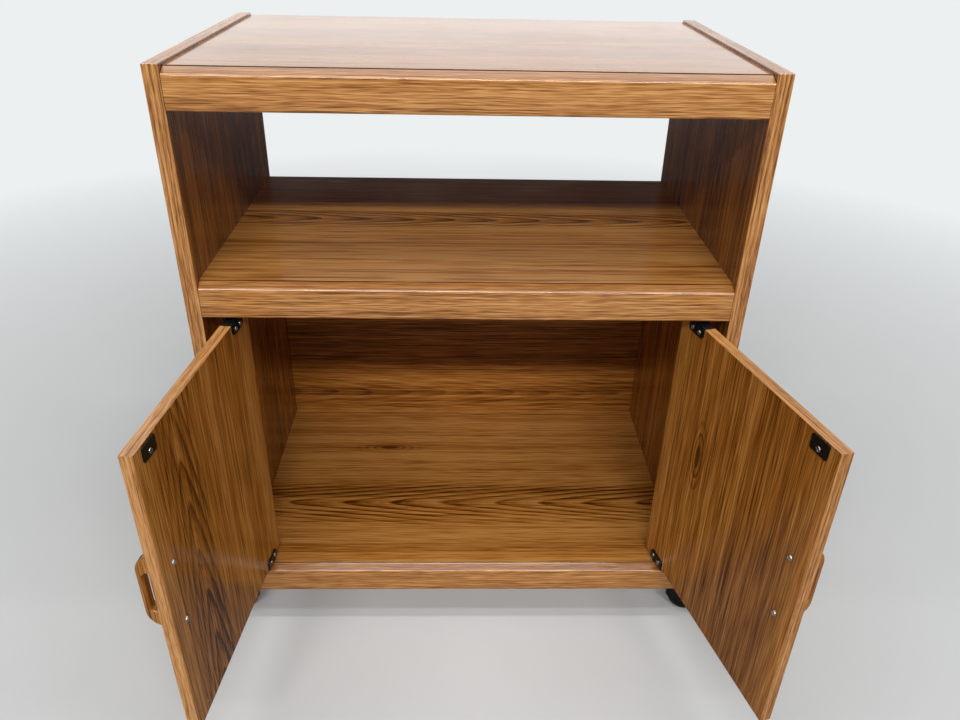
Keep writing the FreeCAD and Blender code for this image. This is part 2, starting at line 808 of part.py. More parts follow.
def make_catch(hand_name, hand):
    """Magnetic catch under the header rail: an eared case with a magnet between two poles."""
    half = D.catch_width / 2
    wing = half + D.catch_ear
    ear_low = opening_top - D.catch_ear_thickness
    case_name = f"catch_case_{hand_name}"
    body = new_body(f"{case_name}_shell")
    profile = outline(body, f"{case_name}_profile", "XZ_Plane", [
        (-half, catch_bottom, D.catch_floor),
        (half, catch_bottom, D.catch_floor),
        (half, ear_low),
        (wing, ear_low),
        (wing, opening_top),
        (-wing, opening_top),
        (-wing, ear_low),
        (-half, ear_low),
    ], -(catch_front + D.catch_depth))
    pad(body, profile, D.catch_depth)
    room = D.magnet_width / 2 + D.pole_thickness + D.fit
    magnet_low = catch_bottom + D.catch_floor
    mouth = outline(body, f"{case_name}_mouth", "XZ_Plane", [
        (-room, magnet_low - D.fit),
        (room, magnet_low - D.fit),
        (room, magnet_low + D.magnet_height + D.fit),
        (-room, magnet_low + D.magnet_height + D.fit),
    ], -catch_front)
    pocket(body, mouth, D.magnet_depth + D.fit)
    cutters = [rod("ear_hole", (catch_screw_reach * side, catch_screw_y, ear_low), "+Z",
                   D.screw_diameter / 2 + D.fit, D.catch_ear_thickness) for side in (-1, 1)]
    case = drilled(case_name, body, cutters)
    place(case, (-catch_x * hand, 0, 0))
    node(case, case_name)

    magnet = block("magnet_block", (-D.magnet_width / 2, catch_front, magnet_low),
                   (D.magnet_width, D.magnet_depth, D.magnet_height))
    poles = [block("pole_plate", (x, catch_front - D.pole_stick, magnet_low),
                   (D.pole_thickness, D.magnet_depth + D.pole_stick, D.magnet_height))
             for x in (-D.magnet_width / 2 - D.pole_thickness, D.magnet_width / 2)]
    stack = doc.addObject("Part::Compound", f"catch_magnet_{hand_name}")
    stack.Links = [magnet] + poles
    place(stack, (-catch_x * hand, 0, 0))
    node(stack, f"catch_magnet_{hand_name}")


def make_catch_screws():
    """Screws through the ears of both catches into the header rail."""
    screw = pan_screw("catch_screw_master", D.screw_diameter, D.screw_head, D.screw_head_height,
                      D.leaf_screw_length)
    doc.recompute()
    seats = [spot_at((x, catch_screw_y, opening_top - D.catch_ear_thickness), "+Z")
             for x in catch_screw_spots()]
    group("catch_screws", screw, seats)


def door_seat(hand_name, hand):
    """Placement of everything on a door: turned about its pivot to where the door stands."""
    turn = Rotation(Vector(0, 0, 1), number(door_turn[hand_name]))
    return (-pivot_half * hand, pivot_y, as_size(0.0)), turn


def hinge_screw_spots(up, hand):
    """Screws of a door leaf, on the door's inner face."""
    edge = door_top if up > 0 else door_bottom
    z = edge - D.door_leaf_screw_drop * up
    return [((leaf_middle + D.door_leaf_screw_pitch / 2 * side) * hand, z) for side in (-1, 1)]


def make_door_panel(hand_name, hand):
    """Door board with the holes for its hinge, strike and pull screws and a spare pilot hole."""
    name = f"door_panel_{hand_name}"
    low_x = -D.pivot_inset if hand > 0 else -free_edge
    base = block(f"{name}_board", (low_x, -door_face, door_bottom),
                 (door_width, D.door_thickness, door_height))
    radius = D.screw_diameter / 2 + D.fit
    depth = D.door_thickness - D.screw_skin + D.slack
    cutters = []
    for up in LEVELS.values():
        for x, z in hinge_screw_spots(up, hand):
            cutters.append(rod("hinge_screw_hole", (x, door_face, z), "-Y", radius, depth))
    cutters.append(rod("strike_screw_hole", (strike_centre * hand, door_face, strike_screw_z), "-Y",
                       radius, depth))
    for side in (-1, 1):
        cutters.append(rod("pull_screw_hole",
                           (pull_x * hand, door_face, door_middle + D.pull_screw_pitch / 2 * side),
                           "-Y", D.pull_screw_diameter / 2 + D.fit, D.door_thickness))
    cutters.append(rod("pilot_hole", ((free_edge - D.pilot_from_edge) * hand, door_face,
                                      door_bottom + D.pilot_from_bottom),
                       "-Y", D.pilot_diameter / 2, D.pilot_depth))
    item = drilled(name, base, cutters)
    place(item, *door_seat(hand_name, hand))
    node(item, name)


def make_door_leaf(level_name, up, hand_name, hand):
    """Moving half of a hinge: a plate on the door's edge bent down over its inner face."""
    name = f"door_leaf_{level_name}_{hand_name}"
    edge = door_top if up > 0 else door_bottom
    outer = edge + D.hinge_plate * up
    tip = edge - D.door_leaf_drop * up
    back = door_face + D.hinge_plate
    start = leaf_start if hand > 0 else -(leaf_start + D.door_leaf_length)
    body = new_body(f"{name}_angle")
    profile = outline(body, f"{name}_profile", "YZ_Plane", [
        (-door_face + D.door_leaf_face_inset, edge),
        (-door_face + D.door_leaf_face_inset, outer),
        (back, outer, D.hinge_plate * ROUND_SHARE),
        (back, tip),
        (door_face, tip),
        (door_face, edge),
    ], start)
    feature = pad(body, profile, D.door_leaf_length)
    fillet(body, feature, D.door_leaf_corner, lambda line: is_tab_corner(line, number(tip)))
    cutters = [rod("pivot_hole", (0, 0, edge), "+Z" if up > 0 else "-Z",
                   D.pin_diameter / 2 + D.running, D.hinge_plate)]
    for x, z in hinge_screw_spots(up, hand):
        cutters.append(rod("tab_hole", (x, back, z), "-Y", D.screw_diameter / 2 + D.fit,
                           D.hinge_plate))
    item = drilled(name, body, cutters)
    place(item, *door_seat(hand_name, hand))
    node(item, name)


def is_tab_corner(line, tip):
    """Whether an edge runs through the tab's thickness at its tip."""
    first, last = line.Vertexes[0].Point, line.Vertexes[-1].Point
    at_tip = abs(first.z - tip) < NEAR and abs(last.z - tip) < NEAR
    return at_tip and abs(first.x - last.x) < NEAR


def is_pull_edge(line, half):
    """Whether an edge lies on one of the pull's two cheeks and off the door's face."""
    points = [vertex.Point for vertex in line.Vertexes]
    on_cheek = all(abs(abs(point.x) - half) < NEAR for point in points)
    same_cheek = abs(points[0].x - points[-1].x) < NEAR
    on_door = all(abs(point.y) < NEAR for point in points)
    return on_cheek and same_cheek and not on_door


def make_pull(hand_name, hand):
    """D-shaped pull: a rounded bar on two feet with a finger slot behind it."""
    name = f"door_pull_{hand_name}"
    half = D.pull_length / 2
    slot = D.pull_slot / 2
    body = new_body(f"{name}_bar")
    profile = outline(body, f"{name}_profile", "YZ_Plane", [
        (as_size(0.0), -half),
        (as_size(0.0), -slot),
        (-D.pull_slot_depth, -slot, D.pull_slot_round),
        (-D.pull_slot_depth, slot, D.pull_slot_round),
        (as_size(0.0), slot),
        (as_size(0.0), half),
        (-D.pull_reach, half, D.pull_round),
        (-D.pull_reach, -half, D.pull_round),
    ])
    feature = pad(body, profile, D.pull_width, "Symmetric")
    cheek = number(D.pull_width / 2)
    fillet(body, feature, D.pull_edge, lambda line: is_pull_edge(line, cheek))
    place(body, (pull_x * hand, -door_face, door_middle))
    cutters = [rod("pull_bore", (pull_x * hand, -door_face, door_middle + D.pull_screw_pitch / 2 * side),
                   "-Y", D.pull_screw_diameter / 2 + D.fit, D.pull_screw_bite + D.slack)
               for side in (-1, 1)]
    item = drilled(name, body, cutters)
    place(item, *door_seat(hand_name, hand))
    node(item, name)


def make_strike(hand_name, hand):
    """Steel plate on the door's inner face that meets the magnetic catch."""
    name = f"strike_plate_{hand_name}"
    half = D.strike_width / 2
    body = new_body(f"{name}_blank")
    profile = outline(body, f"{name}_profile", "XZ_Plane", [
        (strike_centre * hand - half, strike_bottom, D.strike_corner),
        (strike_centre * hand + half, strike_bottom, D.strike_corner),
        (strike_centre * hand + half, strike_top, D.strike_corner),
        (strike_centre * hand - half, strike_top, D.strike_corner),
    ], -(door_face + D.strike_thickness))
    pad(body, profile, D.strike_thickness)
    hole = rod("strike_hole", (strike_centre * hand, door_face, strike_screw_z), "+Y",
               D.screw_diameter / 2 + D.fit, D.strike_thickness)
    item = drilled(name, body, [hole])
    place(item, *door_seat(hand_name, hand))
    node(item, name)


def make_door_screws(hand_name, hand, hinge_screw, strike_screw, pull_screw):
    """Screw groups of one door: hinge tabs, strike plate and pull."""
    spot, turn = door_seat(hand_name, hand)
    seat = Placement(Vector(*[number(value) for value in spot]), turn)
    tab_face = door_face + D.hinge_plate
    tabs = [spot_at((x, tab_face, z), "-Y")
            for up in LEVELS.values() for x, z in hinge_screw_spots(up, hand)]
    group(f"hinge_screws_{hand_name}", hinge_screw, tabs, seat)
    strike = spot_at((strike_centre * hand, door_face + D.strike_thickness, strike_screw_z), "-Y")
    group(f"strike_screw_{hand_name}", strike_screw, [strike], seat)
    pulls = [spot_at((pull_x * hand, door_face, door_middle + D.pull_screw_pitch / 2 * side), "-Y")
             for side in (-1, 1)]
    group(f"pull_screws_{hand_name}", pull_screw, pulls, seat)


def make_doors():
    """Both doors with their leaves, pulls, strikes and screws."""
    grip = D.door_thickness - D.screw_skin
    hinge_screw = pan_screw("hinge_screw_master", D.screw_diameter, D.screw_head,
                            D.screw_head_height, grip + D.hinge_plate)
    strike_screw = pan_screw("strike_screw_master", D.screw_diameter, D.screw_head,
                             D.screw_head_height, grip + D.strike_thickness)
    pull_screw = pan_screw("pull_screw_master", D.pull_screw_diameter, D.pull_screw_head,
                           D.pull_screw_head_height, D.door_thickness + D.pull_screw_bite)
    doc.recompute()
    for hand_name, hand in HANDS.items():
        make_door_panel(hand_name, hand)
        for level_name, up in LEVELS.items():
            make_door_leaf(level_name, up, hand_name, hand)
        make_pull(hand_name, hand)
        make_strike(hand_name, hand)
        make_door_screws(hand_name, hand, hinge_screw, strike_screw, pull_screw)


# casters: every piece is drawn round its axle, with the swivel axis one trail behind it
wheel_radius = D.wheel_diameter / 2
wheel_near = D.web_width / 2 + D.web_gap
wheel_far = wheel_near + D.wheel_width
hood_inner = wheel_radius + D.hood_gap
hood_outer = hood_inner + D.hood_wall
boss_top = D.side_lift - D.socket_flange_height - D.swivel_gap - wheel_radius


def make_wheels(label, spot, turn):
    """Pair of domed wheels on one axle, a running gap off the web between them."""
    body = new_body(f"{label}_wheel")
    bore = D.axle_diameter / 2 + D.running
    profile = outline(body, f"{label}_profile", "YZ_Plane", [
        (wheel_near, bore),
        (wheel_near, wheel_radius),
        (wheel_far, wheel_radius, D.wheel_round),
        (wheel_far, D.wheel_cap_diameter / 2),
        (wheel_far - D.wheel_dish, D.wheel_cap_diameter / 2),
        (wheel_far - D.wheel_dish, bore),
    ])
    revolve(body, profile, "H_Axis")
    twin = doc.addObject("Part::Mirroring", f"{label}_twin")
    twin.Source = body
    twin.Normal = Vector(0, 1, 0)
    pair = doc.addObject("Part::Compound", label)
    pair.Links = [body, twin]
    place(pair, spot, turn)
    node(pair, label)


def make_hood(label, spot, turn):
    """Caster body: a hood over the upper half of both wheels, a web between them and a boss."""
    far = wheel_far + D.hood_gap
    wing = far + D.hood_wall
    web = D.web_width / 2
    body = new_body(f"{label}_shell")
    section = outline(body, f"{label}_section", "YZ_Plane", [
        (-wing, D.hood_mouth),
        (-far, D.hood_mouth),
        (-far, hood_inner, D.wheel_round),
        (-web, hood_inner),
        (-web, D.axle_diameter / 2 + D.fit),
        (web, D.axle_diameter / 2 + D.fit),
        (web, hood_inner),
        (far, hood_inner, D.wheel_round),
        (far, D.hood_mouth),
        (wing, D.hood_mouth),
        (wing, hood_outer, D.wheel_round + D.hood_wall),
        (-wing, hood_outer, D.wheel_round + D.hood_wall),
    ])
    revolve(body, section, "H_Axis", 180.0)
    pad(body, disc(body, f"{label}_hub", "XZ_Plane", D.hub_diameter / 2), D.web_width, "Symmetric")
    boss = disc(body, f"{label}_boss", "XY_Plane", D.boss_diameter / 2)
    boss.AttachmentOffset = Placement(Vector(-number(D.caster_trail), 0, 0), Rotation())
    boss.setExpression("AttachmentOffset.Base.x", (-D.caster_trail).formula)
    pad(body, boss, boss_top)
    cutters = [
        rod("axle_bore", (0, -D.web_width / 2, 0), "+Y", D.axle_diameter / 2 + D.running, D.web_width),
        rod("stem_bore", (-D.caster_trail, 0, D.stem_root), "+Z", D.stem_diameter / 2 + D.running,
            boss_top - D.stem_root),
    ]
    item = drilled(label, body, cutters)
    place(item, spot, turn)
    node(item, label)


def make_stem(label, x, y):
    """Swivel stem: pressed into the hood's boss, with a retaining groove near its tapered top."""
    root = wheel_radius + D.stem_root
    top = D.side_lift + D.stem_reach
    radius = D.stem_diameter / 2
    body = new_body(f"{label}_rod")
    groove_top = top - D.stem_diameter / 2
    groove_low = top - D.stem_diameter
    profile = outline(body, f"{label}_profile", "XZ_Plane", [
        (as_size(0.0), root),
        (radius, root),
        (radius, groove_low),
        (radius - D.stem_groove, groove_low),
        (radius - D.stem_groove, groove_top),
        (radius, groove_top),
        (radius, top - D.stem_groove),
        (radius - D.stem_groove, top),
        (as_size(0.0), top),
    ])
    revolve(body, profile, "V_Axis")
    place(body, (x, y, 0))
    node(body, label)


def make_casters():
    """Four casters at the corners, each swivelled its own way, and their sockets."""
    socket = turned("socket_master", [
        (D.stem_diameter / 2 + D.running, -D.socket_flange_height),
        (D.socket_flange / 2, -D.socket_flange_height),
        (D.socket_flange / 2, as_size(0.0)),
        (socket_outer / 2, as_size(0.0)),
        (socket_outer / 2, D.socket_depth),
        (D.stem_diameter / 2 + D.running, D.socket_depth),
    ])
    doc.recompute()
    sockets = []
    for corner, (side, row_sign) in CORNERS.items():
        x = side_middle * side
        y = caster_rows[row_sign]
        angle = getattr(D, f"turn_angle_{corner}")
        spot = (x + D.caster_trail * cosine(angle), y + D.caster_trail * sine(angle), wheel_radius)
        turn = Rotation(Vector(0, 0, 1), number(angle))
        make_hood(f"caster_hood_{corner}", spot, turn)
        make_stem(f"caster_stem_{corner}", x, y)
        make_wheels(f"caster_wheels_{corner}", spot, turn)
        reach = wheel_far - D.wheel_dish
        pin = rod(f"axle_rod_{corner}", (0, -reach, 0), "+Y", D.axle_diameter / 2, reach * 2)
        axle = doc.addObject("Part::Compound", f"caster_axle_{corner}")
        axle.Links = [pin]
        place(axle, spot, turn)
        node(axle, f"caster_axle_{corner}")
        sockets.append(spot_at((x, y, D.side_lift)))
    group("caster_sockets", socket, sockets)


def check_model():
    """Stop if any feature failed or any sub-part is empty or not valid."""
    doc.recompute()
    failed = [item.Name for item in doc.Objects
              if {"Invalid", "Error"} & set(item.State)]
    if failed:
        raise RuntimeError(f"failed features: {failed}")
    for item in nodes:
        if item.Shape.isNull() or not item.Shape.isValid():
            raise RuntimeError(f"{item.Label} has no valid shape")
        if not item.Shape.Solids:
            raise RuntimeError(f"{item.Label} has no solid")


make_side("side_left", -1)
make_side("side_right", 1)
for panel_name in panel_tops:
    make_panel(panel_name)
    make_nosing(panel_name)
make_header()
make_back()
make_joints()
for pivot_level, level_sign in LEVELS.items():
    for pivot_hand, hand_sign in HANDS.items():
        make_cabinet_leaf(pivot_level, level_sign, pivot_hand, hand_sign)
make_hinge_fasteners()
for pivot_hand, hand_sign in HANDS.items():
    make_catch(pivot_hand, hand_sign)
make_catch_screws()
make_doors()
make_casters()
check_model()

os.makedirs("parts", exist_ok=True)
for item in nodes:
    item.Shape.exportStep(f"parts/{item.Label}.step")
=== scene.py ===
"""Looks of a wood-grain audio-visual cart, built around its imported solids.

The cart has an open bay over a two-door cupboard and stands on four hooded twin-wheel casters. Its
solids stay in place and get procedural finishes. The three nosings and the screws on the doors are
rebuilt as smooth surfaces where their solids are.
"""

import json
import logging
import math
from dataclasses import dataclass
from enum import Enum

import bmesh
import bpy
import numpy as np
from mathutils import Matrix, Vector


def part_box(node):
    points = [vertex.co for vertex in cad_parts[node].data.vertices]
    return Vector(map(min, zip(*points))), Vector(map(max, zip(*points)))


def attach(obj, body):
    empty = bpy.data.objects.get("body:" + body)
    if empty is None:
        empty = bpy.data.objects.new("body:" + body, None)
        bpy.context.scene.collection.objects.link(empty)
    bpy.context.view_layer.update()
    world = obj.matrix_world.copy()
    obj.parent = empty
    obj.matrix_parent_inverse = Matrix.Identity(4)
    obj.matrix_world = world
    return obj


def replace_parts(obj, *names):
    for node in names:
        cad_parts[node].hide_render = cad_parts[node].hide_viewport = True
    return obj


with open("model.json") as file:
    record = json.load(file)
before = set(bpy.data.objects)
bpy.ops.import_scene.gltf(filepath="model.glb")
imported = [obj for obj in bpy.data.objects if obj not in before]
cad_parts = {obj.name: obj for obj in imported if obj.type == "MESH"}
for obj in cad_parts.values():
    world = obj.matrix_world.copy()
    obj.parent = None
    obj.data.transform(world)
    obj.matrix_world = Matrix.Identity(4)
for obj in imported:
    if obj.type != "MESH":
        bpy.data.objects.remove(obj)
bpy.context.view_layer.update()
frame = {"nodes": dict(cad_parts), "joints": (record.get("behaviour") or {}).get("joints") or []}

LOG = logging.getLogger("av_cart")
MM = 0.001
QUARTER_TURN = math.pi / 2
NOISE_MIDDLE = 0.5
Colour = tuple[float, float, float]
Point = tuple[float, float, float]
Pair = tuple[float, float]
Stops = tuple[tuple[float, Colour], ...]
Socket = bpy.types.NodeSocket
Value = float | Socket


class Grain(Enum):
    """Which way the printed grain of a board runs."""

    UPRIGHT = "upright"
    ACROSS = "across"


class Hand(Enum):
    """Which of the two doors a piece belongs to, by the word that the solids use."""

    LEFT = "left"
    RIGHT = "right"


@dataclass(frozen=True)
class Cloud:
    """Soft noise: how often it changes per metre, its octaves of detail and how strong they are."""

    scale: float = 1.0
    detail: float = 2.0
    rough: float = 0.5


class Graph:
    """Node tree of a material or of the world, written as small formulas."""

    def __init__(self, owner: bpy.types.Material | bpy.types.World) -> None:
        """Start with no nodes.

        Args:
            owner: what the tree belongs to.
        """
        owner.use_nodes = True
        self.tree = owner.node_tree
        self.tree.nodes.clear()

    def feed(self, socket: Socket, value: Value | Colour | Vector) -> None:
        """Link a socket to another one, or set its constant value.

        Args:
            socket: input to fill.
            value: socket to link, number, place or colour.
        """
        if isinstance(value, Socket):
            self.tree.links.new(value, socket)
        elif isinstance(value, tuple) and socket.type == "RGBA":
            socket.default_value = (*value, 1.0)
        else:
            socket.default_value = value

    def node(self, kind: str, *values: Value | Colour | Vector,
             **settings: str | bool) -> bpy.types.Node:
        """New node with its settings made and its open inputs filled in order.

        Args:
            kind: Blender's name of the node, without the words that all names share.
            values: what fills its inputs.
            settings: properties of the node.

        Returns:
            The node.
        """
        node = self.tree.nodes.new(f"ShaderNode{kind}")
        for name, setting in settings.items():
            setattr(node, name, setting)
        sockets = [socket for socket in node.inputs if socket.enabled]
        for socket, value in zip(sockets, values):
            self.feed(socket, value)
        return node

    def out(self, kind: str, *values: Value | Colour | Vector, **settings: str | bool) -> Socket:
        """First open output of a new node, made as node() makes it."""
        node = self.node(kind, *values, **settings)
        return next(socket for socket in node.outputs if socket.enabled)

    def math(self, operation: str, *values: Value, clamp: bool = False) -> Socket:
        """Result of one arithmetic step, kept between 0 and 1 if clamp is set."""
        return self.out("Math", *values, operation=operation, use_clamp=clamp)

    def blend(self, share: Value, first: Value, second: Value) -> Socket:
        """Number that goes from the first to the second as share goes from 0 to 1."""
        return self.out("Mix", share, first, second, data_type="FLOAT")

    def tint(self, share: Value, first: Socket | Colour, second: Socket | Colour) -> Socket:
        """Colour that goes from the first to the second as share goes from 0 to 1."""
        return self.out("Mix", share, first, second, data_type="RGBA")

    def spread(self, value: Value, low: float, high: float, to_low: float = 0.0,
               to_high: float = 1.0) -> Socket:
        """Value mapped from the range low to high to another range and held inside it."""
        return self.out("MapRange", value, low, high, to_low, to_high, clamp=True)

    def noise(self, place: Socket, cloud: Cloud) -> Socket:
        """Soft random value about the noise's middle, at a place in a cloud."""
        return self.out("TexNoise", place, cloud.scale, cloud.detail, cloud.rough)

    def lot(self, seed: Value) -> Socket:
        """Random number between 0 and 1, drawn by a seed."""
        node = self.node("TexWhiteNoise", seed, noise_dimensions="1D")
        return self.split(node.outputs["Color"])[0]

    def split(self, vector: Socket) -> tuple[Socket, ...]:
        """The three parts of a vector or colour."""
        return tuple(self.node("SeparateXYZ", vector).outputs)

    def join(self, *parts: Value) -> Socket:
        """Vector made of three parts."""
        return self.out("CombineXYZ", *parts)

    def ramp(self, value: Value, stops: Stops) -> Socket:
        """Colour along a row of stops.

        Args:
            value: place along the ramp, 0 to 1.
            stops: places with their colours, in rising order.

        Returns:
            The colour at that place.
        """
        node = self.node("ValToRGB", value)
        band = node.color_ramp
        while len(band.elements) < len(stops):
            band.elements.new(1.0)
        for element, (place, colour) in zip(band.elements, stops):
            element.position = place
            element.color = (*colour, 1.0)
        return node.outputs[0]


class Skin(Graph):
    """Graph of one material, which holds one Principled shader."""

    SQUARE_ON = 0.5
    LEVEL = 0.7

    def __init__(self, name: str) -> None:
        """Start the material.

        Args:
            name: name of the material.
        """
        self.material = bpy.data.materials.new(name)
        super().__init__(self.material)
        self.shader = self.node("BsdfPrincipled")
        self.output = self.node("OutputMaterial", self.shader.outputs["BSDF"])

    def set(self, **inputs: Value | Colour) -> None:
        """Fill inputs of the Principled shader; underscores stand for blanks."""
        for name, value in inputs.items():
            self.feed(self.shader.inputs[name.replace("_", " ")], value)

    def bump(self, height: Value, strength: float, distance: float) -> None:
        """Roughen the surface by a height field.

        Args:
            height: relief, 0 to 1.
            strength: share of the relief that shows.
            distance: depth of the relief in metres.
        """
        node = self.node("Bump", strength, distance)
        self.feed(node.inputs["Height"], height)
        self.feed(self.shader.inputs["Normal"], node.outputs[0])

    def place(self, centre: Vector, turn: float) -> Socket:
        """Object coordinates seen from a board's own centre and its turn about the upright axis."""
        source = self.node("TexCoord").outputs["Object"]
        return self.out("Mapping", source, centre, (0.0, 0.0, turn), vector_type="TEXTURE")

    def here(self) -> Socket:
        """Object coordinates as they are, in metres."""
        return self.place(Vector(), 0.0)

    def facing(self) -> tuple[Socket, ...]:
        """Parts of the direction that the surface faces, in the piece's own frame."""
        return self.split(self.node("TexCoord").outputs["Normal"])

    def edge_share(self, turn: float) -> Socket:
        """Tell the narrow edges of an upright board from its faces.

        Args:
            turn: angle of the board about the upright axis, in radians.

        Returns:
            1 on the edges and 0 on the faces.
        """
        x, y, _ = self.facing()
        out = self.math("MULTIPLY_ADD", x, -math.sin(turn), self.math("MULTIPLY", y, math.cos(turn)))
        return self.math("LESS_THAN", self.math("ABSOLUTE", out), self.SQUARE_ON)

    def front_share(self) -> Socket:
        """1 where the surface faces the front of the cart and 0 elsewhere."""
        return self.math("LESS_THAN", self.facing()[1], -self.SQUARE_ON)

    def level_share(self) -> Socket:
        """1 where the surface faces up or down and 0 elsewhere."""
        return self.math("GREATER_THAN", self.math("ABSOLUTE", self.facing()[2]), self.LEVEL)


@dataclass(frozen=True)
class Rings:
    """Late wood of growth rings, and fainter lines between them.

    A late line is the share of a ring passed, raised to a power and faded out from the cut to the
    ring's end. The minor lines are a fainter power of the share passed of a fraction of the ring.
    """

    power: float = 2.2
    cut: float = 0.86
    minor: float = 0.29
    minor_power: float = 2.0
    minor_weight: float = 0.16

    def lines(self, g: Graph, reach: Socket, ring: float) -> Socket:
        """Dark lines by the distance that the rings are counted by.

        Args:
            g: graph of the material.
            reach: the distance in metres.
            ring: width of one ring in metres.

        Returns:
            1 on a late line and about 0 between the lines.
        """
        phase = g.math("FRACT", g.math("DIVIDE", reach, ring))
        late = g.math("MULTIPLY", g.math("POWER", phase, self.power), g.spread(phase, 1.0, self.cut))
        minor = g.math("FRACT", g.math("DIVIDE", reach, self.minor * ring))
        return g.math("MULTIPLY_ADD", g.math("POWER", minor, self.minor_power), self.minor_weight, late)


@dataclass(frozen=True)
class Arches:
    """Pointed arches of a flat-sawn plank.

    The rings are cones cut lengthways, so they are level lines of the root of the squared place
    across plus the squared depth of the cut, plus the taper times the place along.
    """

    across: float
    taper: float
    ring: float = 7.5 * MM
    depth: float = 10.0 * MM
    span: float = 40.0 * MM
    weight: float = 1.0
    full: float = 0.5
    rings: Rings = Rings()

    def lines(self, g: Graph, along: Socket, across: Socket, sway: Socket) -> Socket:
        """Dark lines, fading out at the sides of the plank.

        Args:
            g: graph of the material.
            along: place along the grain in metres.
            across: place across the grain in metres.
            sway: how far the grain wanders there, in metres.

        Returns:
            Share of dark line.
        """
        side = g.math("SUBTRACT", across, self.across)
        root = g.math("SQRT", g.math("MULTIPLY_ADD", side, side, self.depth ** 2))
        reach = g.math("ADD", g.math("MULTIPLY_ADD", along, self.taper, root), sway)
        near = g.spread(g.math("ABSOLUTE", side), self.span, self.full * self.span)
        near = g.math("MULTIPLY", near, self.weight)
        return g.math("MULTIPLY", self.rings.lines(g, reach, self.ring), near)


@dataclass(frozen=True)
class Knot:
    """Long knot with a dark heart.

    Its rings are counted by the root of the squared place across plus the squared and shortened
    place along.
    """

    across: float
    along: float
    ring: float = 2.6 * MM
    squeeze: float = 0.3
    span: float = 11.0 * MM
    weight: float = 1.0
    wander: float = 0.5
    full: float = 0.4
    heart: Pair = (0.35, 0.15)
    rings: Rings = Rings()

    def lines(self, g: Graph, along: Socket, across: Socket, sway: Socket) -> Socket:
        """Dark lines, fading out away from the heart.

        Args:
            g: graph of the material.
            along: place along the grain in metres.
            across: place across the grain in metres.
            sway: how far the grain wanders there, in metres.

        Returns:
            Share of dark line.
        """
        side = g.math("SUBTRACT", across, self.across)
        run = g.math("MULTIPLY", g.math("SUBTRACT", along, self.along), self.squeeze)
        squares = g.math("MULTIPLY_ADD", side, side, g.math("MULTIPLY", run, run))
        reach = g.math("MULTIPLY_ADD", sway, self.wander, g.math("SQRT", squares))
        near = g.spread(reach, self.span, self.full * self.span)
        heart = g.spread(reach, self.heart[0] * self.span, self.heart[1] * self.span)
        rings = g.math("MULTIPLY", self.rings.lines(g, reach, self.ring), near)
        return g.math("MULTIPLY", g.math("MAXIMUM", rings, heart), self.weight)


@dataclass(frozen=True)
class Streaks:
    """Noise drawn out along the grain: shift of its draw, octaves of detail and how strong they are.

    The places along and across the grain are multiplied by two speeds, and the draw stands third.
    """

    shift: float
    detail: float
    rough: float = 0.5

    def value(self, g: Graph, along: Socket, across: Socket, speeds: Pair, seed: float) -> Socket:
        """Noise at a place on the board.

        Args:
            g: graph of the material.
            along: place along the grain in metres.
            across: place across the grain in metres.
            speeds: changes per metre along and across the grain.
            seed: draw of the sheet.

        Returns:
            The noise there.
        """
        run = g.math("MULTIPLY", along, speeds[0])
        side = g.math("MULTIPLY", across, speeds[1])
        place = g.join(run, side, seed + self.shift)
        return g.noise(place, Cloud(1.0, self.detail, self.rough))


@dataclass(frozen=True)
class Strokes:
    """Colours and layers of a print: broad bands, long lines and short flecks.

    Each layer has a weight, and lines and flecks have a run, which holds their speeds per metre
    along and across the grain.
    """

    pale: Colour = (0.56, 0.262, 0.066)
    middle: Colour = (0.325, 0.114, 0.0150)
    dark: Colour = (0.070, 0.019, 0.0020)
    base: float = 0.53
    band: float = 0.9
    line: float = 1.6
    fleck: float = 1.5
    ring: float = 0.72
    line_run: Pair = (2.4, 320.0)
    fleck_run: Pair = (20.0, 900.0)

    @property
    def stops(self) -> Stops:
        """Colours by tone, from dark to pale."""
        return (0.0, self.dark), (0.5, self.middle), (1.0, self.pale)


FACE_STROKES = Strokes()
EDGE_STROKES = Strokes(pale=(0.63, 0.335, 0.130), middle=(0.45, 0.192, 0.054),
                       dark=(0.16, 0.055, 0.012), base=0.54, band=0.6, line=2.6, fleck=1.2,
                       line_run=(9.0, 420.0), fleck_run=(70.0, 1300.0))
STRIP_STROKES = Strokes(pale=(0.63, 0.318, 0.108), middle=(0.43, 0.176, 0.043),
                        dark=(0.17, 0.056, 0.011), base=0.55, band=0.6, line=2.6, fleck=1.8,
                        line_run=(8.0, 680.0), fleck_run=(38.0, 1050.0))
FAINT_STROKES = Strokes(base=0.6, band=0.7, line=1.2, fleck=0.6, ring=0.5)
SHELF_STROKES = Strokes(dark=(0.11, 0.032, 0.004), line=2.3, fleck=1.3, ring=0.9,
                        line_run=(2.2, 200.0), fleck_run=(18.0, 420.0))


@dataclass(frozen=True)
class Sheet:
    """One printed sheet: its grain, draw, tone and figures, and whether its front edge is bare.

    The lifts make the face and the band on the edges paler, or darker where they are below zero.
    """

    grain: Grain
    seed: float
    lift: float = 0.0
    figures: tuple[Arches | Knot, ...] = ()
    bare_front: bool = False
    strokes: Strokes = FACE_STROKES
    edge_lift: float = 0.0


